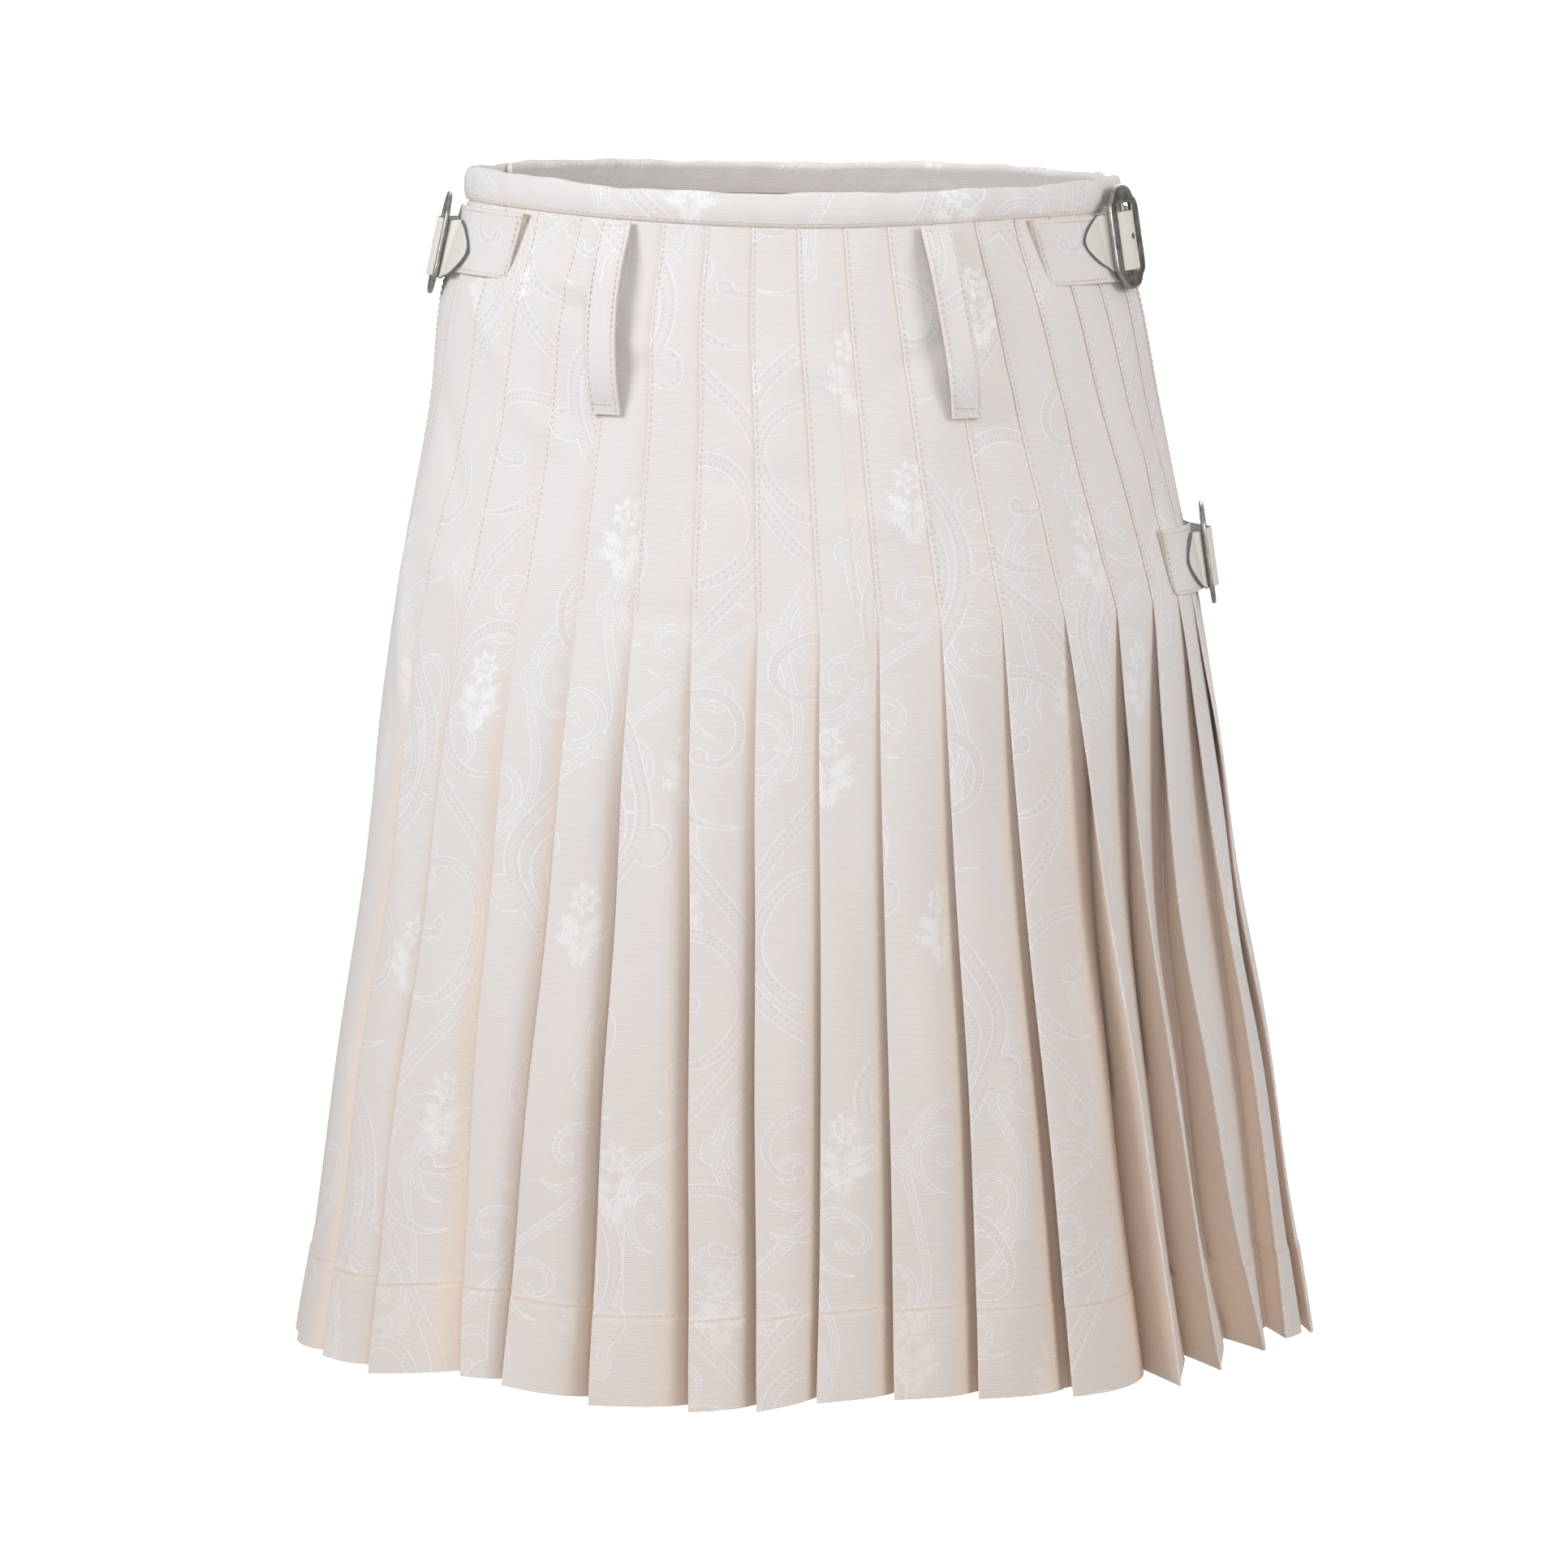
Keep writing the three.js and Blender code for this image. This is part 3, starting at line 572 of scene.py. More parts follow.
class Material:
    """A node material with a Principled shader and helpers that make fields."""

    def __init__(self, name):
        self.material = bpy.data.materials.new(name)
        self.material.use_nodes = True
        self.tree = self.material.node_tree
        self.shader = next(n for n in self.tree.nodes if n.type == "BSDF_PRINCIPLED")

    def value(self, name, amount):
        self.shader.inputs[name].default_value = amount

    def link(self, name, field):
        self.tree.links.new(field.socket, self.shader.inputs[name])

    def pattern_place(self):
        """The cloth's own place in millimetres: across it and up it."""
        node = self.tree.nodes.new("ShaderNodeUVMap")
        node.uv_map = "Cloth"
        parts = self.tree.nodes.new("ShaderNodeSeparateXYZ")
        self.tree.links.new(node.outputs["UV"], parts.inputs[0])
        return Field(self.tree, parts.outputs[0]) * 1000, Field(self.tree, parts.outputs[1]) * 1000

    def join(self, x, y, z=0.0):
        node = self.tree.nodes.new("ShaderNodeCombineXYZ")
        for place, value in enumerate((x, y, z)):
            fill_socket(self.tree, node.inputs[place], value)
        return Field(self.tree, node.outputs[0])

    def place(self):
        """The place on the object in metres."""
        node = self.tree.nodes.new("ShaderNodeTexCoord")
        return Field(self.tree, node.outputs["Object"])

    def noise(self, where, scale, detail=2.0, roughness=0.5):
        node = self.tree.nodes.new("ShaderNodeTexNoise")
        self.tree.links.new(where.socket, node.inputs["Vector"])
        node.inputs["Scale"].default_value = scale
        node.inputs["Detail"].default_value = detail
        node.inputs["Roughness"].default_value = roughness
        return Field(self.tree, node.outputs["Fac"])

    def attribute(self, name):
        node = self.tree.nodes.new("ShaderNodeAttribute")
        node.attribute_name = name
        return Field(self.tree, node.outputs["Fac"])

    def bump(self, height, distance, strength=1.0):
        node = self.tree.nodes.new("ShaderNodeBump")
        node.inputs["Distance"].default_value = distance
        node.inputs["Strength"].default_value = strength
        self.tree.links.new(height.socket, node.inputs["Height"])
        self.tree.links.new(node.outputs["Normal"], self.shader.inputs["Normal"])


# The scroll figure: how far each curl winds, where it starts, and how close the dots lie
CURL_LAPS = 1.12
CURL_START = 2.0
CURL_DOTS = 62
STEM_DOTS = 92


def spiral(x, y, radius, pitch, most_turn, start):
    """Distance to a spiral that winds in from a start angle, and the angle run along it."""
    reach = combined(x, y)
    turn = (y.math("ARCTAN2", x) - start).cycle(2 * math.pi)
    step = pitch / (2 * math.pi)
    lap = ((turn * -step + radius - reach) / pitch).math("ROUND").most(0).least(1)
    total = turn + lap * (2 * math.pi)
    past = (total - most_turn).most(0) * 30
    return abs(reach - (total * -step + radius)) + past, total


def scroll_layer(x, y, across, height, sway, thick, seed):
    """A winding stem in each column, with a spiral, a bud and a barb in each of its bays. It is in mm and
    below 0 inside. With it comes a phase that runs along the bands."""
    column = (x / across).floor()
    local_x = x - (column + 0.5) * across
    moved = y + column * seed
    wave = moved * (2 * math.pi / height)
    slope = wave.cosine() * (sway * 2 * math.pi / height)
    stem = abs(local_x - wave.sine() * sway) / (slope * slope + 1).math("SQRT")
    bay = (moved / (height / 2)).floor()
    local_y = moved - (bay + 0.5) * (height / 2)
    side = bay.cycle(2) * -2 + 1
    centre_x = local_x * side + sway * 0.28
    radius = sway * 1.2
    pitch = sway * 0.86
    most_turn = 2 * math.pi * CURL_LAPS
    gap, total = spiral(centre_x, local_y, radius, pitch, most_turn, -CURL_START)
    end_reach = radius - pitch * most_turn / (2 * math.pi)
    end_turn = most_turn - CURL_START
    bud_x = centre_x - end_reach * math.cos(end_turn)
    bud_y = local_y - end_reach * math.sin(end_turn)
    bud = combined(bud_x, bud_y) - thick * 1.15
    width = total.ramp(0, 1.1, thick * 0.1, thick).least(total.ramp(1.1, most_turn, thick, thick * 0.55))
    curl = (gap - width).least(bud)
    barb_x = centre_x - sway * 1.62
    barb_y = local_y + sway * 0.55
    hollow = combined(barb_x - thick, barb_y + thick * 1.7) * -1 + thick * 3
    barb = combined(barb_x + thick * 2.4, barb_y).most(hollow) - thick * 2.7
    on_stem = (curl - stem + thick).math("GREATER_THAN", 0.0)
    run = total * CURL_DOTS + on_stem * (wave * STEM_DOTS - total * CURL_DOTS)
    return (stem - thick).least(curl).least(barb), run


def leaf(aside, up, centre, turn, length, width):
    """A pointed leaf in mm, above 0 inside."""
    x = aside - centre[0]
    y = up - centre[1]
    along = x * math.cos(turn) + y * math.sin(turn)
    across = y * math.cos(turn) - x * math.sin(turn)
    return (combined(along / length, across / width) - 1) * -width


def sprig(x, y, across, height):
    """A satin blossom over three pairs of leaves in each cell. Above 0 inside."""
    row = (y / height).floor()
    moved = x + row.cycle(2) * (across / 2)
    column = (moved / across).floor()
    dx = moved - (column + 0.5) * across + (row * 3.7 + column * 5.3).sine() * 24
    dy = y - (row + 0.5) * height + (row * 2.9 + column * 7.1).sine() * 20
    blossom_y = dy - 10
    petals = (blossom_y.math("ARCTAN2", dx) * 7).cosine() * 1.6 + 7
    reach = combined(dx, blossom_y)
    blossom = (petals - reach).least(abs(reach - 2.9) - 0.3)
    aside = abs(dx)
    leaves = leaf(aside, dy, (5.8, -2.5), 0.75, 7.4, 3.9)
    leaves = leaves.most(leaf(aside, dy, (6.8, -9.5), 0.3, 7.0, 3.4))
    leaves = leaves.most(leaf(aside, dy, (2.6, -15.0), 1.25, 7.2, 3.2))
    return blossom.most(leaves)


# The weave: the pitch of its ribs, of the hatching in the bands and of the satin floats
RIB_PITCH = 1.1
HATCH_PITCH = 1.5
FLOAT_PITCH = 1.2
SPRIG_CELL = (150, 96)
LARGE_SCROLL = dict(across=124, height=226, sway=33, thick=3.4, seed=83)
SMALL_SCROLL = dict(across=89, height=128, sway=14.5, thick=2.1, seed=57)
SMALL_TURN = (0.94, 0.34)

# Cloth colours
GROUND = ((0.785, 0.735, 0.712), (0.835, 0.805, 0.797))
RIB = (0.86, 0.84, 0.83)
BAND = (0.86, 0.845, 0.845)
DOT = (0.66, 0.58, 0.53)
BAND_SHADE = (0.66, 0.645, 0.69)
BAND_LINE = (0.93, 0.93, 0.985)
SATIN = (0.96, 0.96, 0.97)
# Painted shade: the cloth darker and warmer towards the hem, in two layers.
SHADED_GROUND_AT_HEM = (0.61, 0.50, 0.42)
SHADE_AT_HEM = (0.63, 0.53, 0.465)
# Painted shade along the step at the hem seam.
HEM_SEAM_SHADE = (0.62, 0.50, 0.41)
# Painted shade in and beside the pleat folds and along the waistband's low seam.
SHADE_TINT = (0.88, 0.70, 0.565)
# Painted shade on the waistband's inner side.
INSIDE_SHADE = (0.50, 0.465, 0.44)
# Painted shade along the edges of the belt loops and tabs.
EDGE_SHADE = (0.76, 0.62, 0.47)


def waves(distance, pitch):
    """A sine wave of a pitch along a field of distances."""
    return (distance * (2 * math.pi / pitch)).sine()


def brocade_material(name, edge=False):
    """Ribbed cloth with scrolling bands and satin sprigs, and painted shade towards the hem, along the hem
    seam, in the folds, on the band's inside and, when edged, along the edges.
    """
    made = Material(name)
    x, y = made.pattern_place()
    where = made.join(x, y)
    wx = x + (made.noise(where, 0.011, 1) - 0.5) * 30
    wy = y + (made.noise(made.join(y + 400, x), 0.01, 1) - 0.5) * 30
    large, run = scroll_layer(wx, wy, **LARGE_SCROLL)
    near, far = SMALL_TURN
    small, _ = scroll_layer(wx * near - wy * far + 31, wx * far + wy * near, **SMALL_SCROLL)
    band = large.least(small.most(large * -1))
    broken = made.noise(where, 0.7, 2).ramp(0.36, 0.56, 0.25, 1)
    outline = abs(band).ramp(0.15, 0.6, 1, 0) * broken
    shadow = abs(band + 0.75).ramp(0.1, 0.4, 1, 0)
    inside = band.ramp(-0.7, -0.2, 1, 0)
    dotted = large.ramp(-0.7, -0.2, 1, 0)
    hatch = waves(x * 0.6 + y, HATCH_PITCH).ramp(-0.4, 0.8)
    hatch = hatch * dotted.ramp(0, 1, 1, 0.45)
    dots = run.sine().ramp(0.1, 0.7) * abs(large + 1.7).ramp(0.25, 0.6, 1, 0)
    fuzz = made.noise(made.join(x * 1.7, y * 0.7), 0.6, 4, 0.65) - 0.5
    satin = (sprig(x, y, *SPRIG_CELL) + fuzz * 14).ramp(-0.4, 1.2)
    float_turn = x * (2 * math.pi / FLOAT_PITCH) + made.noise(where, 0.4) * 9
    float_lines = float_turn.sine().ramp(-0.8, 0.8, 0.55, 1)
    # lower weighs the painted shade towards the hem: it darkens and warms the cloth and dulls the satin
    # there.
    lower = y.ramp(-620, -60, 1, 0)
    satin = satin * float_lines * (lower * -0.5 + 1)
    rib = waves(y, RIB_PITCH)
    slub = made.noise(made.join(x * 0.12, y * 1.7), 0.8, 2)
    cloud = made.noise(made.place(), 9, 3)
    ground = cloud.mix(*GROUND)
    ground = (lower * 0.27).mix(ground, SHADED_GROUND_AT_HEM)
    ribbed = rib.ramp(-1, 1) * slub.ramp(0.3, 0.7, 0.2, 0.5)
    ground = ribbed.mix(ground, RIB)
    filled = (inside * hatch.ramp(0, 1, 0.05, 0.95)).mix(ground, BAND)
    spotted = (dots * 0.6).mix(filled, DOT)
    shaded = (shadow * 0.4).mix(spotted, BAND_SHADE)
    lined = (outline * 0.85).mix(shaded, BAND_LINE)
    colour = (satin * 0.95).mix(lined, SATIN)
    colour = (lower * 0.26).mix(colour, SHADE_AT_HEM)
    # A painted shade line along the step at the hem seam, which also sinks as a groove in the bump.
    hem_seam = abs(made.attribute("drop") - HEM_LINE - 0.5).ramp(0.3, 1.4, 0.45, 0)
    colour = hem_seam.mix(colour, HEM_SEAM_SHADE)
    # Painted shade in and beside the folds and at the waistband's low seam, weighed per point.
    colour = (made.attribute("painted_shade") * 0.8).mix(colour, SHADE_TINT)
    # Painted shade on the waistband's inner side.
    colour = made.attribute("inside_shade").mix(colour, INSIDE_SHADE)
    # When edged, painted shade along the edges of loops and tabs.
    if edge:
        colour = made.attribute("edge").mix(colour, EDGE_SHADE)
    made.link("Base Color", colour)
    made.link("Roughness", satin.most(outline * 0.5).ramp(0, 1, 0.62, 0.36))
    made.value("Sheen Weight", 0.2)
    made.value("Sheen Roughness", 0.5)
    made.value("Specular IOR Level", 0.35)
    relief = rib * 0.22 + outline * 0.3 + inside * hatch * 0.3 + satin * 0.5 - dots * 0.2
    relief = relief + (made.noise(where, 1.6, 2) - 0.5) * 0.35 - hem_seam * 0.8
    made.bump(relief, 0.0002, 0.7)
    return made.material


def thread_material():
    made = Material("thread")
    twist = made.noise(made.place(), 900, 1)
    made.link("Base Color", twist.mix((0.73, 0.58, 0.48), (0.82, 0.70, 0.61)))
    made.value("Roughness", 0.55)
    made.bump(twist, 0.0002)
    return made.material


def leather_material():
    made = Material("leather")
    where = made.place()
    grain = made.noise(where, 900, 3, 0.7)
    specks = made.noise(where, 380, 4, 0.8)
    wear = made.noise(where, 60, 3)
    base = wear.mix((0.76, 0.725, 0.65), (0.84, 0.81, 0.75))
    speckled = specks.ramp(0.58, 0.72).mix(base, (0.60, 0.565, 0.47))
    colour = made.attribute("edge").mix(speckled, (0.17, 0.19, 0.21))
    # A dark disc painted at the peg hole: painted shade for a hole that the mesh doesn't cut.
    hole = made.attribute("from_hole").ramp(1.3, 1.8, 1, 0)
    made.link("Base Color", hole.mix(colour, (0.05, 0.05, 0.055)))
    made.link("Roughness", grain.ramp(0.3, 0.7, 0.42, 0.62))
    made.bump(grain * 0.5 + specks * 0.5, 0.00035, 0.6)
    return made.material


def pewter_material():
    made = Material("pewter")
    where = made.place()
    cast = made.noise(where, 420, 4, 0.65)
    patches = made.noise(where, 110, 3, 0.6)
    worn = made.attribute("wear") * patches.ramp(0.3, 0.6, 0.6, 1)
    dark = patches.ramp(0.35, 0.65).mix((0.13, 0.12, 0.112), (0.34, 0.325, 0.305))
    made.link("Base Color", worn.mix(dark, (0.64, 0.62, 0.59)))
    made.link("Roughness", (cast * 0.3 + worn * -0.2 + 0.38))
    made.value("Metallic", 1.0)
    made.bump(cast + worn * 0.2, 0.0003, 0.6)
    return made.material


brocade = brocade_material("brocade")
brocade_edged = brocade_material("brocade_edged", edge=True)
thread = thread_material()
leather = leather_material()
pewter = pewter_material()

# Stitches are gathered by piece and made as one mesh at the end.
STITCH_LENGTH = 2.3
STITCH_PITCH = 3.1
STITCH_RADIUS = 0.28
stitches = {}


def sew(piece_name, path, normals, pitch=STITCH_PITCH):
    """Lays a row of stitches along a path on the cloth."""
    run = arc_lengths(path[None], 1)[0] / MM
    count = int((run[-1] - 0.5) / pitch)
    for index in range(count):
        ends = np.array([0, 0.25, 0.75, 1]) * STITCH_LENGTH + index * pitch + 0.4
        middle = np.stack([np.interp(ends, run, path[:, k]) for k in range(3)], -1)
        up = np.array([np.interp(ends[1], run, normals[:, k]) for k in range(3)])
        up /= np.linalg.norm(up)
        stitches.setdefault(piece_name, []).append((middle, up))


def build_stitches(name):
    """One mesh of a piece's stitches: each is a round with 4 rings of 5 points, sunk at its ends."""
    points = []
    faces = []
    for middle, up in stitches[name]:
        forward = middle[-1] - middle[0]
        forward /= np.linalg.norm(forward)
        side = np.cross(forward, up)
        start = len(points)
        for place, size, lift in zip(middle, (0.35, 1, 1, 0.35), (-0.15, 0.12, 0.12, -0.15)):
            for turn in np.radians((0, 72, 144, 216, 288)):
                out = math.cos(turn) * up * 0.8 + math.sin(turn) * side
                points.append(place + (out * size * STITCH_RADIUS + up * lift) * MM)
        for ring in range(3):
            for corner in range(5):
                a = start + ring * 5 + corner
                b = start + ring * 5 + (corner + 1) % 5
                faces.append((a, b, b + 5, a + 5))
        faces.append(tuple(start + corner for corner in range(4, -1, -1)))
        faces.append(tuple(start + 15 + corner for corner in range(5)))
    return finish_piece(make_object(name, points, faces), thread, BROCADE_SLOT)


# The drops that the cloth has rows of points at
ROWS = np.unique(
    np.concatenate(
        [
            np.linspace(0, FELL_DROP, int(FELL_DROP / FELL_STEP) + 1),
            np.linspace(FELL_DROP, SKIRT_LENGTH, int((SKIRT_LENGTH - FELL_DROP) / SKIRT_STEP) + 1),
            [HEM_LINE, HEM_LINE + 1],
        ]
    )
)
HEM_ROW = int(np.argmin(abs(ROWS - HEM_LINE)))


def outward(grid):
    """The outer face of the cloth."""
    return grid + grid_normals(grid) * CLOTH * MM / 2


def fold_shade_of(columns, drop, outer):
    """How much painted shade the cloth gets, from 0 to 1: in its folds, under each fold, on the end of each
    face beside the next fold, and a little more below the hem seam.
    """
    offsets = np.stack([column[1] for column in columns], 1)
    depth = 0.6 * smooth_step(-offsets, -3, 22)
    opened = opening(drop)[:, None]
    near_end = smooth_step(FACE_SHARES, 0.64, 0.84)
    for fold in outer:
        under = slice(max(fold - 8, 0), fold)
        depth[:, under] = np.maximum(depth[:, under], blend(0.9, 0.8, opened))
        face = slice(fold + 3, fold + 3 + len(FACE_SHARES))
        depth[:, face] = np.maximum(depth[:, face], near_end * (0.2 + 0.55 * opened**0.7))
    return depth + 0.1 * smooth_step(drop, HEM_LINE, HEM_LINE + 1)[:, None]


def pleated_back(node, first, last):
    name = node + "_cloth"
    drop = ROWS
    columns, outer, inner = pleat_columns(first, last, drop)
    grid = wall_of(columns, drop)
    run = arc_lengths(grid)
    count = len(columns)
    starts = [0] + inner + [count - 1]
    left_u = np.zeros_like(run)
    right_u = np.zeros_like(run)
    for number, fold in enumerate(outer):
        place = (first + number) * PLEAT_REPEAT * MM + run - run[:, [fold]]
        low, high = starts[number], starts[number + 1]
        right_u[:, low : high + 1] = place[:, low : high + 1]
        left_u[:, low + 1 : high + 1] = place[:, low + 1 : high + 1]
    lengths = [np.broadcast_to(column[2], drop.shape) for column in columns]
    drops = drop[:, None] * np.stack(lengths, 1) / SKIRT_LENGTH
    # The first layer weighs the painted shade in and beside the folds.
    layers = {"painted_shade": fold_shade_of(columns, drop, outer), "drop": np.repeat(drop[:, None], count, 1)}
    piece = shell(name, grid, left_u, right_u, drops, layers)
    finish_piece(piece, brocade, BROCADE_SLOT, node)
    normals = grid_normals(grid)
    top = outward(grid)
    fell = drop <= FELL_DROP - 3
    for number, fold in enumerate(outer):
        seam = fold + 4
        sew(f"{name}_stitches", top[fell, seam], normals[fell, seam])
        face = slice(fold + 3, fold + 3 + len(FACE_SHARES))
        sew(f"{name}_stitches", top[HEM_ROW, face], normals[HEM_ROW, face])
    return piece, run


def flat_apron(node, angles_at, offsets_at, lengths_at, count, tail=None):
    """An apron: a wall over evenly spaced angles, with a tail of stations that joins the pleats."""
    name = node + "_cloth"
    shares = np.linspace(0, 1, count)
    columns = [(angles_at(share), offsets_at(share), lengths_at(share)) for share in shares]
    columns += tail or []
    grid = wall_of(columns, ROWS)
    run = arc_lengths(grid)
    drops = np.repeat(ROWS[:, None] * HEM_LENGTH / SKIRT_LENGTH, len(columns), 1)
    layers = {"drop": np.repeat(ROWS[:, None], len(columns), 1)}
    piece = shell(name, grid, run, run, drops, layers)
    finish_piece(piece, brocade, BROCADE_SLOT, node)
    normals = grid_normals(grid)
    top = outward(grid)
    sew(f"{name}_stitches", top[HEM_ROW, :count], normals[HEM_ROW, :count])
    return piece, run, top, normals


def under_apron():
    start = fold_angle(LAST_EDGE, ROWS) + 0.15
    length = LAST_EDGE[4] - HEM_FACE_RISE
    made = flat_apron(
        "under_apron",
        lambda share: blend(start, UNDER_END_ANGLE, share),
        lambda share: np.full_like(ROWS, UNDER_OFFSET),
        lambda share: length,
        96,
    )
    _, _, top, normals = made
    sew("under_apron_cloth_stitches", top[:, -2], normals[:, -2])
    return made


def over_apron():
    flat = blend(OVER_OFFSET, OVER_HEM_OFFSET, ROWS / SKIRT_LENGTH)
    first = Pleat(0, ROWS)
    covered = first.offset - first.fall
    tail = []
    for share in np.linspace(0, 1, 9)[1:]:
        eased = share * share * (3 - 2 * share)
        length = blend(HEM_LENGTH, first.length - HEM_FACE_RISE, share)
        tail.append((blend(OVER_TURN_ANGLE, first.angle, share), blend(flat, covered, eased), length))
    angle, offset, length = inner_fold(0, ROWS)
    for share in TUCK_SHARES:
        tail.append((blend(first.angle, angle, share), blend(covered, offset, share), length))
    made = flat_apron(
        "over_apron",
        lambda share: np.full_like(ROWS, blend(OVER_FREE_ANGLE, OVER_TURN_ANGLE, share)),
        lambda share: flat,
        lambda share: HEM_LENGTH,
        110,
        tail,
    )
    _, _, top, normals = made
    for column in (1, 5):
        sew("over_apron_cloth_stitches", top[:, column], normals[:, column])
    return made


def swept(name, centres, ups, outs, shape, layers, place=(0, 0)):
    """A profile of (out, up) points in mm for each centre of a line. The ends are closed."""
    count, sides = shape.shape[:2]
    points = centres[:, None] + (shape[..., :1] * outs[:, None] + shape[..., 1:] * ups[:, None]) * MM
    corner = np.arange(count * sides).reshape(count, sides)
    after = np.roll(corner, -1, axis=1)
    faces = np.stack([corner[:-1], corner[1:], after[1:], after[:-1]], -1).reshape(-1, 4)
    run = arc_lengths(centres[None], 1)[0]
    closed = np.concatenate([shape, shape[:, :1]], 1)
    round_it = arc_lengths(closed * MM, 1)
    u = np.broadcast_to(run[:, None], round_it.shape)
    uv = np.stack([u, round_it], -1) + np.array(place)
    quads = np.stack([uv[:-1, :-1], uv[1:, :-1], uv[1:, 1:], uv[:-1, 1:]], 2).reshape(-1, 4, 2)
    all_faces = faces.tolist() + [corner[0].tolist(), corner[-1, ::-1].tolist()]
    uvs = np.concatenate([quads.reshape(-1, 2), uv[0, :-1], uv[-1, -2::-1]])
    made = {key: values.ravel() for key, values in layers.items()}
    return make_object(name, points.reshape(-1, 3), all_faces, uvs, 60, made), points


def band_offset(angle):
    return blend(BAND_INNER_OFFSET, BAND_OFFSET, 1 - smooth_step(angle, 78, 104))


def rounded_profile(thickness, width, radius, steps=4, rows=6):
    """A rectangle with round corners, out by up, starting at the low inner side."""
    half = thickness / 2
    tall = width / 2
    radius = min(radius, half)
    corners = [(half - radius, -tall + radius, -90), (half - radius, tall - radius, 0)]
    corners += [(radius - half, tall - radius, 90), (radius - half, -tall + radius, 180)]
    points = []
    for out, up, start in corners:
        for turn in np.radians(np.linspace(start, start + 90, steps)):
            points.append((out + radius * math.cos(turn), up + radius * math.sin(turn)))
        if start in (0, 180):
            continue
        level = np.linspace(points[-1][1], -points[-1][1], rows + 1)[1:-1]
        points += [(points[-1][0], value) for value in level]
    return np.array(points)


def puffy_profile(thickness, width, count=56, power=3.0):
    """A soft stuffed strip, out by up, starting low on the inner side."""
    turn = np.linspace(-math.pi, math.pi, count, endpoint=False)
    out = np.sign(np.cos(turn)) * abs(np.cos(turn)) ** (2 / power)
    up = np.sign(np.sin(turn)) * abs(np.sin(turn)) ** (2 / power)
    return np.column_stack([out * thickness / 2, up * width / 2])


def turned_out(outs, facing):
    """Normals turned round where they point away from a facing."""
    return -outs if (outs * facing).sum() < 0 else outs


def waistband():
    angles = np.linspace(BAND_START_ANGLE, BAND_END_ANGLE, 420)
    offset = band_offset(angles)
    centres = plain_point(angles, 0, offset)
    facing = plain_point(angles, 0, offset + 1) - centres
    centres[:, 2] += -SEAM_Z * MM
    ups = repeated((0.0, 0.0, 1.0), len(angles))
    outs = np.cross(ups, np.gradient(centres, axis=0))
    outs[:, 2] = 0
    outs = turned_out(unit(outs), facing)
    profile = puffy_profile(BAND_THICKNESS, BAND_HEIGHT)
    shape = repeated(profile, len(angles))
    turn = np.radians(angles)[:, None]
    share = (shape[..., 1] + BAND_HEIGHT / 2) / BAND_HEIGHT
    wave = 0.5 * np.sin(turn * 27 + 0.7 + share) * np.sin(turn * 7.3)
    wave = wave + 0.3 * np.sin(turn * 49 + share * 2.5)
    fullness = 0.7 * np.sin(share * math.pi) * (shape[..., 0] > 0)
    shape[..., 0] += wave * share + fullness - 0.7 * share**3
    roll = 0.7 * np.sin(turn * 5.1 + 1) + 0.45 * np.sin(turn * 13.7) + 0.2 * np.sin(turn * 37)
    shape[..., 1] += share**2 * roll
    # Painted shade along the band's low edge, where it meets the skirt.
    seam = 0.8 * (1 - smooth_step(share, 0.02, 0.1))
    # Painted shade over the band's inner side.
    inside_shade = 0.65 * (profile[:, 0] < 0) * smooth_step(share, 0, 0.1) * (1 - smooth_step(share, 0.75, 0.95))
    layers = {"painted_shade": seam, "inside_shade": inside_shade}
    piece, points = swept("waistband_cloth", centres, ups, outs, shape, layers=layers, place=(0.013, 0.021))
    finish_piece(piece, brocade, BROCADE_SLOT, "waistband")
    low = int(np.argmin(abs(profile[:, 1] + BAND_HEIGHT / 2 - 2) + 9 * (profile[:, 0] < 0)))
    sew("waistband_stitches", points[:, low], outs)
    return piece


def strip_frame(centres, across):
    return unit(np.cross(np.gradient(centres, axis=0), across))


def belt_loop(name):
    top_angle, bottom_angle = LOOPS[name]
    share = np.linspace(0, 1, 90)
    angle = blend(top_angle, bottom_angle, share)
    drop = LOOP_TOP_DROP + share * LOOP_LENGTH
    base = FOLD_OFFSET + (CLOTH + LOOP_THICKNESS) / 2 + 1.0
    lift = curve(LOOP_RISE, 1, share) * (LOOP_CLEARANCE - 1.0)
    centres = plain_point(angle, drop, base + lift)
    across = plain_point(angle + 1, drop, base) - plain_point(angle - 1, drop, base)
    across[:, 2] = 0
    across = unit(across)
    facing = plain_point(angle, drop, base + 1) - plain_point(angle, drop, base)
    outs = turned_out(strip_frame(centres, across), facing)
    profile = rounded_profile(LOOP_THICKNESS, LOOP_WIDTH, 0.9)
    shape = repeated(profile, len(share))
    crown = 1 - (shape[..., 1] / (LOOP_WIDTH / 2)) ** 2
    shape[..., 0] += 0.35 * crown * np.sin(share[:, None] * 9 + 1)
    place = (0.3 if "left" in name else 0.42, 0.05)
    # Painted shade along both long edges of the loop.
    edge = 0.7 * (abs(profile[:, 1]) > LOOP_WIDTH / 2 - 0.35)
    layers = {"edge": repeated(edge, len(share))}
    piece, points = swept(name + "_cloth", centres, across, outs, shape, layers=layers, place=place)
    finish_piece(piece, brocade_edged, BROCADE_SLOT, name)
    stitch_name = name + "_stitches"
    lift = LOOP_THICKNESS / 2 + LOOP_STITCH_LIFT
    for side in (-1, 1):
        path = centres + (outs * lift + across * side * (LOOP_WIDTH / 2 - 1.9)) * MM
        sew(stitch_name, path, outs)
    for row in LOOP_BAR_ROWS:
        reach = np.linspace(-1, 1, 8)[:, None] * (LOOP_WIDTH / 2 - 2)
        path = centres[row] + (outs[row] * lift + across[row] * reach) * MM
        sew(stitch_name, path, repeated(outs[row], 8), LOOP_BAR_PITCH)
    return piece


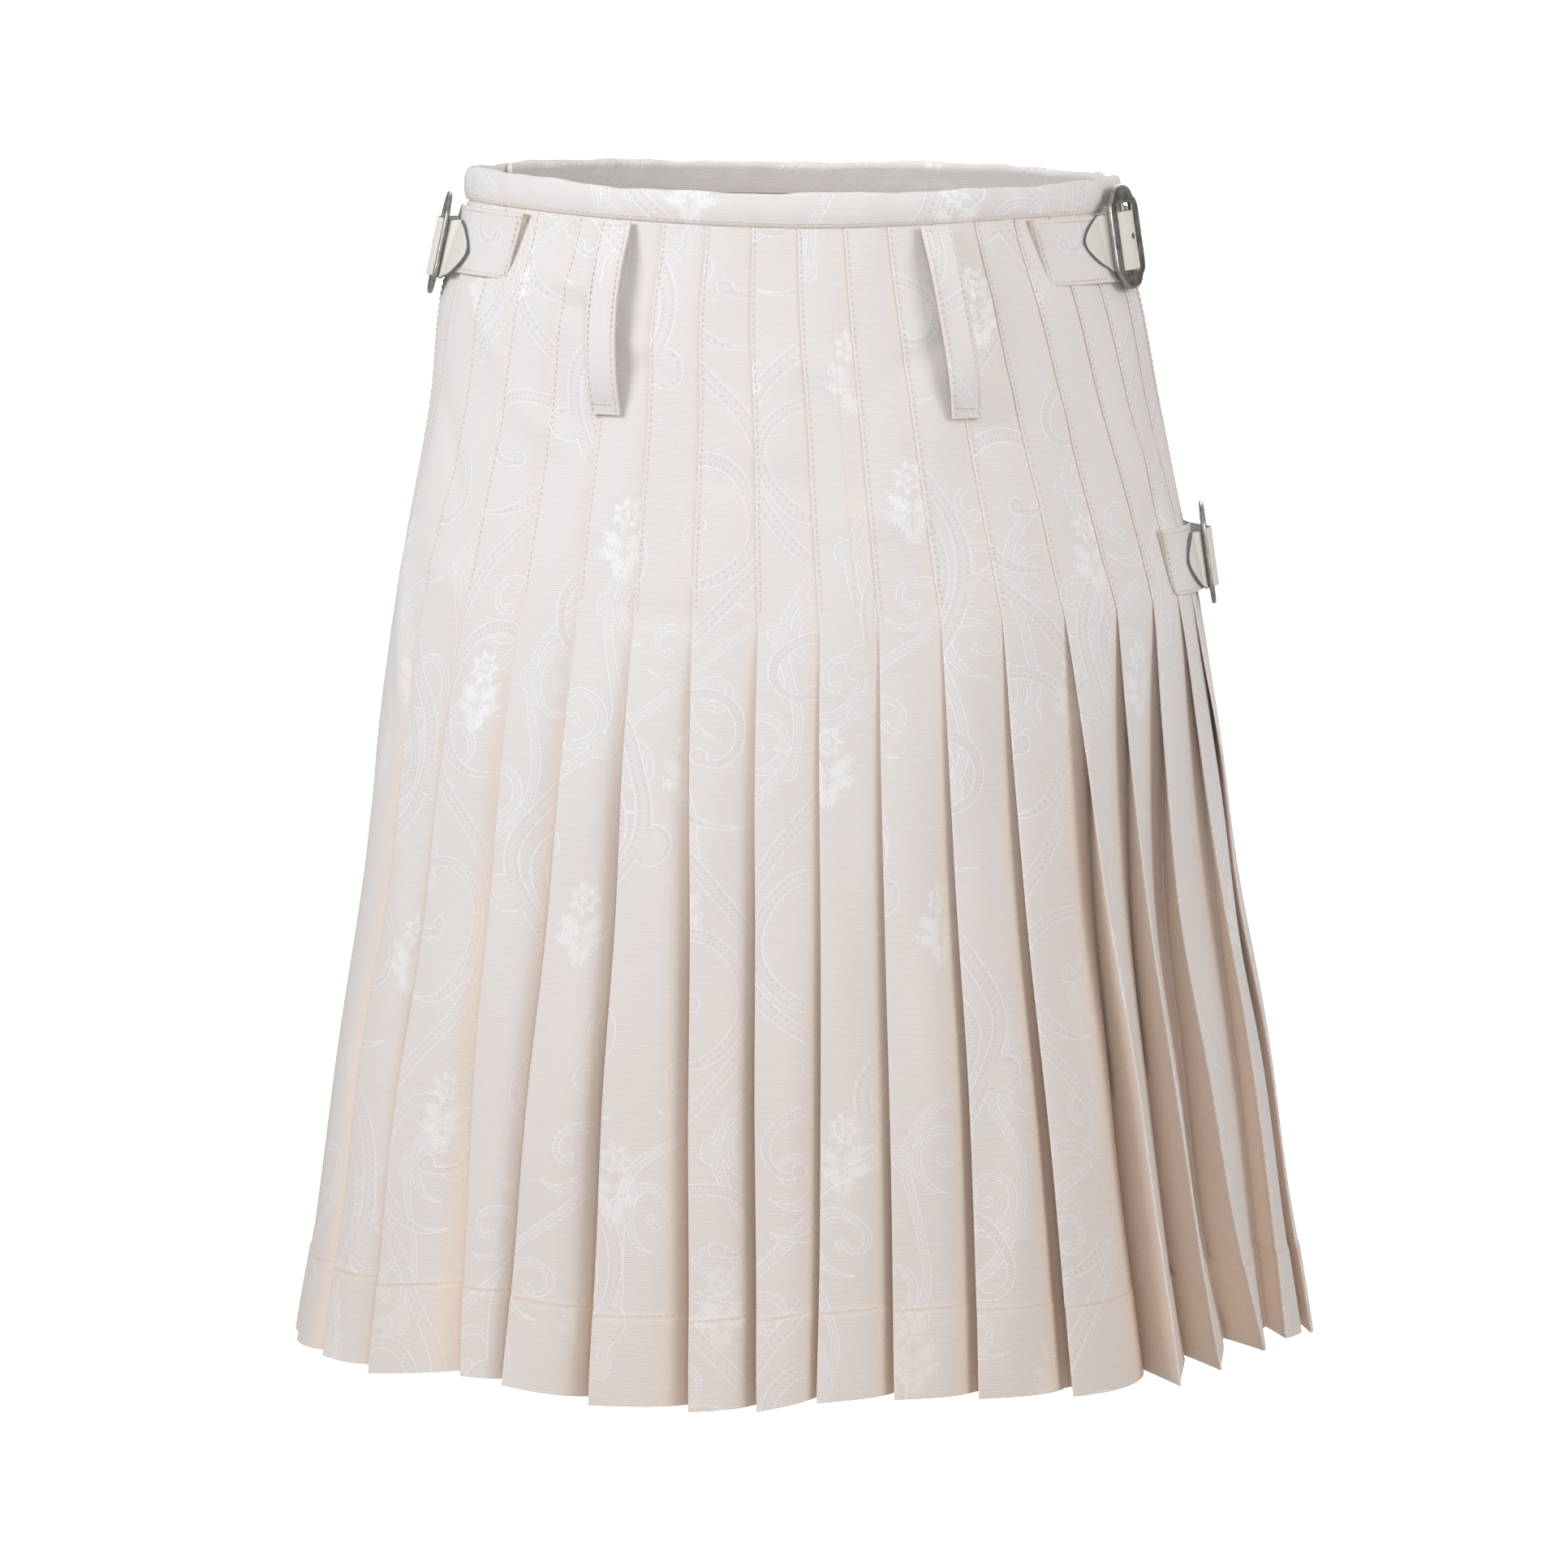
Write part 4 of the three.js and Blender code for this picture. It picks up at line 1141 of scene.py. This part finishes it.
class Seat:
    """Where a buckle sits on the form, and the directions along the strap, up and out there."""

    def __init__(self, row):
        self.row = row
        angle, drop, front = row["angle"], row["drop"], row["front"]
        self.middle = plain_point(angle, drop, PLATE_OFFSET)
        ahead = plain_point(angle + front, drop, PLATE_OFFSET)
        along = ahead - plain_point(angle - front, drop, PLATE_OFFSET)
        along[2] = 0
        self.degree = np.linalg.norm(along) / 2 / MM
        self.along = unit(along)
        half = STRAP_WIDTH / 2
        up = unit(plain_point(angle, drop - half, 0) - plain_point(angle, drop + half, 0))
        up = blend(up, np.array([0, 0, 1]), PLATE_UPRIGHT)
        self.up = unit(up - self.along * up.dot(self.along))
        self.out = np.cross(self.along, self.up) * front

    def laid(self, along, offset, drop):
        """Points on the form at distances along the strap."""
        return plain_point(self.row["angle"] + self.row["front"] * along / self.degree, drop, offset)

    def up_at(self, along, drop, half):
        return unit(self.laid(along, 0, drop - half) - self.laid(along, 0, drop + half))

    def held(self, along, lift, down):
        """Points held to the flat plate."""
        reach = self.along * np.asarray(along)[..., None] + self.out * np.asarray(lift)[..., None]
        return self.middle + (reach - self.up * down) * MM


def resample(points, count):
    run = arc_lengths(points[None], 1)[0]
    table = np.column_stack([run, points])
    even = np.linspace(0, run[-1], count)
    return np.stack([curve(table, k + 1, even) for k in range(points.shape[1])], -1)


def strap(name, row):
    seat = Seat(row)
    drop = row["drop"] + STRAP_DROP
    half = STRAP_WIDTH / 2
    point_along = np.linspace(-row["tip"], -19, 4)
    laid_along = np.append(np.arange(24, row["start"], 12), row["start"])
    centres = np.concatenate(
        [
            seat.laid(point_along, STRAP_OFFSET, drop),
            seat.held(STRAP_WAY[:, 0], STRAP_WAY[:, 1], STRAP_DROP),
            seat.laid(laid_along, STRAP_OFFSET, drop),
        ]
    )
    ups = np.concatenate(
        [
            seat.up_at(point_along, drop, half),
            repeated(seat.up, len(STRAP_WAY)),
            seat.up_at(laid_along, drop, half),
        ]
    )
    both = resample(np.hstack([centres, ups * 1e-4]), 150)
    centres = both[:, :3]
    ups = unit(both[:, 3:])
    run = arc_lengths(centres[None], 1)[0] / MM
    outs = turned_out(strip_frame(centres, ups), seat.out)
    share = np.clip(run / POINT_LENGTH, 0, 1)
    width = TIP_HALF + (half - TIP_HALF) * (1 - (1 - share) ** 1.9) ** 0.75
    profile = rounded_profile(STRAP_THICKNESS, STRAP_WIDTH, 0.7, rows=20)
    shape = repeated(profile, len(run))
    drawn_in = np.maximum(abs(shape[..., 1]) - (half - width[:, None]), 0)
    shape[..., 1] = np.sign(shape[..., 1]) * drawn_in
    thin = 0.7 + 0.3 * np.clip(run / 6, 0, 1)
    shape[..., 0] *= thin[:, None]
    edge = (abs(profile[:, 0]) < STRAP_THICKNESS / 2 - 0.15) & (abs(profile[:, 1]) > half - 0.8)
    edges = repeated(edge.astype(float), len(run))
    edges[0] = 1
    over = (centres - seat.middle) @ seat.along / MM
    from_hole = np.hypot(over[:, None], shape[..., 1] - STRAP_DROP) + 9 * (shape[..., 0] < 0)
    layers = {"edge": edges, "from_hole": from_hole}
    piece, _ = swept(f"strap_{name}_leather", centres, ups, outs, shape, layers=layers)
    return finish_piece(piece, leather, LEATHER_SLOT, f"strap_{name}")


def tab(name, row):
    seat = Seat(row)
    half = TAB_WIDTH / 2
    count = 60
    along = np.linspace(-row["tab"], -TAB_END, count)
    offset = blend(TAB_SEWN_OFFSET, TAB_OFFSET + 0.4, smooth_step(along, -row["tab"], 20 - row["tab"]))
    centres = seat.laid(along, offset, row["tab_drop"])
    ups = seat.up_at(along, row["tab_drop"], half)
    fade = np.clip(1 - (along + row["tab"]) / 30, 0, 1)[:, None]
    ups = ups - seat.along * fade * row["slant"] / TAB_WIDTH
    outs = turned_out(strip_frame(centres, ups), seat.out)
    profile = rounded_profile(TAB_THICKNESS, TAB_WIDTH, 0.6, rows=16)
    shape = repeated(profile, count)
    shape[..., 0] += 0.3 * np.sin(shape[..., 1] * 0.2 + along[:, None] * 0.13)
    from_end = np.clip(1 - (along + row["tab"]) / TAB_CORNER, 0, 1)
    rounded = TAB_CORNER * (1 - np.sqrt(1 - from_end**2))
    shape[..., 1] = np.maximum(shape[..., 1], rounded[:, None] - half)
    near_side = smooth_step(abs(profile[:, 1]), half - 1.5, half - 0.4)
    away = smooth_step(-along, 20, 30)[:, None]
    inner = profile[:, 0] < 0
    turned_down = np.maximum(near_side * away, smooth_step(from_end, 0.4, 0.9)[:, None])
    shape[..., 0] -= TAB_LIP * inner * turned_down
    # Painted shade along the tab's long edges and over its sewn end.
    edge = (abs(profile[:, 1]) > half - 0.3).astype(float)
    edges = repeated(edge, count)
    edges[0] = 1
    layers = {"edge": edges * 0.6}
    piece, _ = swept(f"tab_{name}_cloth", centres, ups, outs, shape, layers=layers, place=(0.55, 0.03))
    finish_piece(piece, brocade_edged, BROCADE_SLOT, f"tab_{name}")
    stitch_name = f"tab_{name}_stitches"
    lift = TAB_THICKNESS / 2 + TAB_STITCH_LIFT
    seen = along < -PLATE_WIDTH / 2 - 1
    for side in (-1, 1):
        path = centres + (outs * lift + ups * side * (half - 2)) * MM
        sew(stitch_name, path[seen], outs[seen])
    reach = np.linspace(-1, 1, 12)[:, None] * (half - 2)
    path = centres[2] + (outs[2] * lift + ups[2] * reach) * MM
    sew(stitch_name, path, repeated(outs[2], 12))
    return piece


def bezier(start, pull, end, count):
    t = np.linspace(0, 1, count, endpoint=False)[:, None]
    return start * (1 - t) ** 2 + pull * 2 * t * (1 - t) + end * t**2


def plate_outline(inset):
    """The plate's outline, drawn in by an inset, from the middle of its right side."""
    half_width = PLATE_WIDTH / 2 - inset
    half_height = PLATE_HEIGHT / 2 - inset
    near = inset * 0.7
    quarter = [
        ((half_width, 0), (half_width + 0.3, 7), (half_width, 12.5), 7),
        ((half_width, 12.5), (half_width - 0.2, 17.6 - near), (14.6 - near, 19 - near), 6),
        ((14.6 - near, 19 - near), (13.1 - near, 19.8 - near), (12.3 - near, 21.4 - near), 4),
        ((12.3 - near, 21.4 - near), (9.3 - near, half_height - 0.1), (0, half_height), 8),
    ]
    first = np.concatenate([bezier(*map(np.array, row[:3]), row[3]) for row in quarter])
    corner = first[1:]
    top = np.array([[0, half_height]])
    right = np.concatenate([first, top, corner[::-1] * (-1, 1)])
    middle = np.array([[-half_width, 0]])
    left = np.concatenate([middle, corner * (-1, -1), top * (1, -1), corner[::-1] * (1, -1)])
    return np.concatenate([right, left])


def window_outline(outline, inset):
    """The window's outline, with a point for each point of the plate's outline. It grows by the inset."""
    half = np.array([WINDOW_WIDTH / 2 + inset, WINDOW_HEIGHT / 2 + inset])
    way = outline / np.array([PLATE_WIDTH, PLATE_HEIGHT])
    size = (abs(way) ** 14).sum(axis=1, keepdims=True) ** (1 / 14)
    return way / size * half


def buckle(name, row):
    seat = Seat(row)
    half = PLATE_THICKNESS / 2
    rings = [
        (plate_outline(0.9), -half, 0.1),
        (plate_outline(0.3), -half + 0.35, 0.3),
        (plate_outline(0), -0.2, 0.6),
        (plate_outline(0.1), half - 0.55, 0.9),
        (plate_outline(0.5), half - 0.1, 1.0),
        (plate_outline(1.0), half, 0.7),
        (plate_outline(1.5), half - 0.2, 0.15),
        (plate_outline(2.4), half - 0.25, 0.05),
        (plate_outline(3.4), half - 0.2, 0.1),
    ]
    base = plate_outline(0)
    rings += [
        (window_outline(base, 1.3), half - 0.2, 0.1),
        (window_outline(base, 0.7), half - 0.1, 0.35),
        (window_outline(base, 0.3), half - 0.15, 0.75),
        (window_outline(base, 0), half - 0.5, 0.6),
        (window_outline(base, 0), -half + 0.4, 0.1),
        (window_outline(base, 0.4), -half, 0.0),
    ]
    shape = np.stack([np.column_stack([ring, np.full(len(ring), level)]) for ring, level, _ in rings])
    side = seat.along * row["front"]
    basis = np.stack([side, seat.up, seat.out])
    points = seat.middle + shape @ basis * MM
    wear = np.stack([np.full(len(base), amount) for _, _, amount in rings])
    rows, columns = shape.shape[:2]
    corner = np.arange(rows * columns).reshape(rows, columns)
    around = np.roll(corner, -1, axis=1)
    down = np.roll(corner, -1, axis=0)
    cross = np.roll(around, -1, axis=0)
    faces = np.stack([corner, around, cross, down], -1).reshape(-1, 4).tolist()
    vertices = points.reshape(-1, 3).tolist()
    worn = wear.ravel().tolist()
    levels = np.linspace(-1, 1, 15) * (WINDOW_HEIGHT / 2 + 2)
    first = len(vertices)
    for level in levels:
        for turn in np.radians(np.arange(0, 360, 30)):
            place = (BAR_RADIUS * math.cos(turn), level, BAR_RADIUS * math.sin(turn) + BAR_LIFT)
            vertices.append((seat.middle + np.array(place) @ basis * MM).tolist())
            worn.append(0.4)
    for ring in range(len(levels) - 1):
        for step in range(12):
            a = first + ring * 12 + step
            b = first + ring * 12 + (step + 1) % 12
            faces.append((a, a + 12, b + 12, b))
    faces.append(tuple(first + step for step in range(12)))
    faces.append(tuple(first + (len(levels) - 1) * 12 + step for step in range(11, -1, -1)))
    piece = make_object(f"buckle_{name}_cast", vertices, faces, smooth_angle=40, layers={"wear": worn})
    return finish_piece(piece, pewter, PEWTER_SLOT, f"buckle_{name}")


left_back, left_run = pleated_back("pleats_left", 0, JOINED_PLEAT - 1)
right_back, right_run = pleated_back("pleats_right", JOINED_PLEAT, len(PLEATS) - 1)
over, over_run, _, _ = over_apron()
under, under_run, _, _ = under_apron()
band = waistband()
loops = [belt_loop(name) for name in LOOPS]
tabs = []
for name, row in BUCKLES.items():
    tabs.append(tab(name, row))
    strap(name, row)
    buckle(name, row)
sewn = {name: build_stitches(name) for name in stitches}


def cloth_area(piece):
    mesh = piece.data
    areas = np.empty(len(mesh.polygons))
    mesh.polygons.foreach_get("area", areas)
    return float(areas.sum() / 2)


def declare(piece, width, length):
    """Prints a piece of cloth with the size that it was cut to, its area and its shell's area."""
    area = min(cloth_area(piece), width * length)
    print(f"{piece.name}: {width:.3f} x {length:.3f} m, area {area:.4f}, shell {cloth_area(piece):.4f}")


for piece, run in ((left_back, left_run), (right_back, right_run), (over, over_run), (under, under_run)):
    declare(piece, float(run[:, -1].max()), SKIRT_LENGTH * MM * 1.015)
declare(band, 1.18, 0.036)
for piece in loops:
    declare(piece, 0.106, 0.034)
for piece, row in zip(tabs, BUCKLES.values()):
    declare(piece, (row["tab"] - TAB_END) * MM, 0.035)


def plain(name, colour, glow):
    made = Material(name)
    made.value("Roughness", 0.9)
    tone = made.noise(made.place(), 0.2, 1)
    made.link("Base Color", tone.mix(colour, colour))
    made.value("Emission Color", (1, 1, 1, 1))
    made.value("Emission Strength", glow)
    return made.material


FLOOR_Z = -0.9
FLOOR_SIZE = 160
bpy.ops.mesh.primitive_plane_add(size=FLOOR_SIZE, location=(0, 0, FLOOR_Z))
floor = bpy.context.object
floor.name = "floor"
floor.data.materials.append(plain("floor", (0.9, 0.9, 0.9), 1.0))
floor.visible_diffuse = False
floor.visible_glossy = False

world = bpy.data.worlds.new("studio")
world.use_nodes = True
background = next(n for n in world.node_tree.nodes if n.type == "BACKGROUND")
sky = world.node_tree.nodes.new("ShaderNodeTexCoord")
height = world.node_tree.nodes.new("ShaderNodeSeparateXYZ")
fade = world.node_tree.nodes.new("ShaderNodeMapRange")
world.node_tree.links.new(sky.outputs["Generated"], height.inputs[0])
world.node_tree.links.new(height.outputs["Z"], fade.inputs["Value"])
fade.inputs["From Min"].default_value = -1
fade.inputs["To Min"].default_value = 0.36
fade.inputs["To Max"].default_value = 0.42
world.node_tree.links.new(fade.outputs["Result"], background.inputs["Strength"])
background.inputs["Color"].default_value = (1, 0.985, 0.97, 1)
bpy.context.scene.world = world
bpy.context.scene.view_settings.view_transform = "Standard"


def softbox(name, place, target, size, watts, colour=(1, 1, 1)):
    light = bpy.data.lights.new(name, "AREA")
    light.shape = "DISK"
    light.size = size
    light.energy = watts
    light.color = colour
    lamp = bpy.data.objects.new(name, light)
    lamp.location = place
    way = np.array(target) - np.array(place)
    flat = math.hypot(way[0], way[1])
    lamp.rotation_euler = (math.atan2(flat, -way[2]), 0, math.atan2(way[1], way[0]) - math.pi / 2)
    bpy.context.scene.collection.objects.link(lamp)


softbox("front", (0.3, -4.2, 0.9), (0, 0, -0.15), 1.2, 22)
softbox("key", (-2.6, -1.7, 1.2), (0, 0, -0.2), 1.5, 66, (0.955, 0.975, 1))
softbox("fill", (2.4, -1.6, 0.8), (0, 0, -0.2), 1.8, 34, (1, 0.99, 0.98))
softbox("back", (0.5, 2.8, 1.6), (0, 0, -0.3), 2.0, 22)

CAMERA_PLACE = (-0.0072, -4.4, 0.27)
CAMERA_DIP = 7.253
CAMERA_LENS = 206.6
camera_data = bpy.data.cameras.new("camera")
camera_data.sensor_width = 36
camera_data.lens = CAMERA_LENS
camera = bpy.data.objects.new("camera", camera_data)
camera.location = CAMERA_PLACE
camera.rotation_euler = (math.radians(90 - CAMERA_DIP), 0, 0)
bpy.context.scene.collection.objects.link(camera)
bpy.context.scene.camera = camera
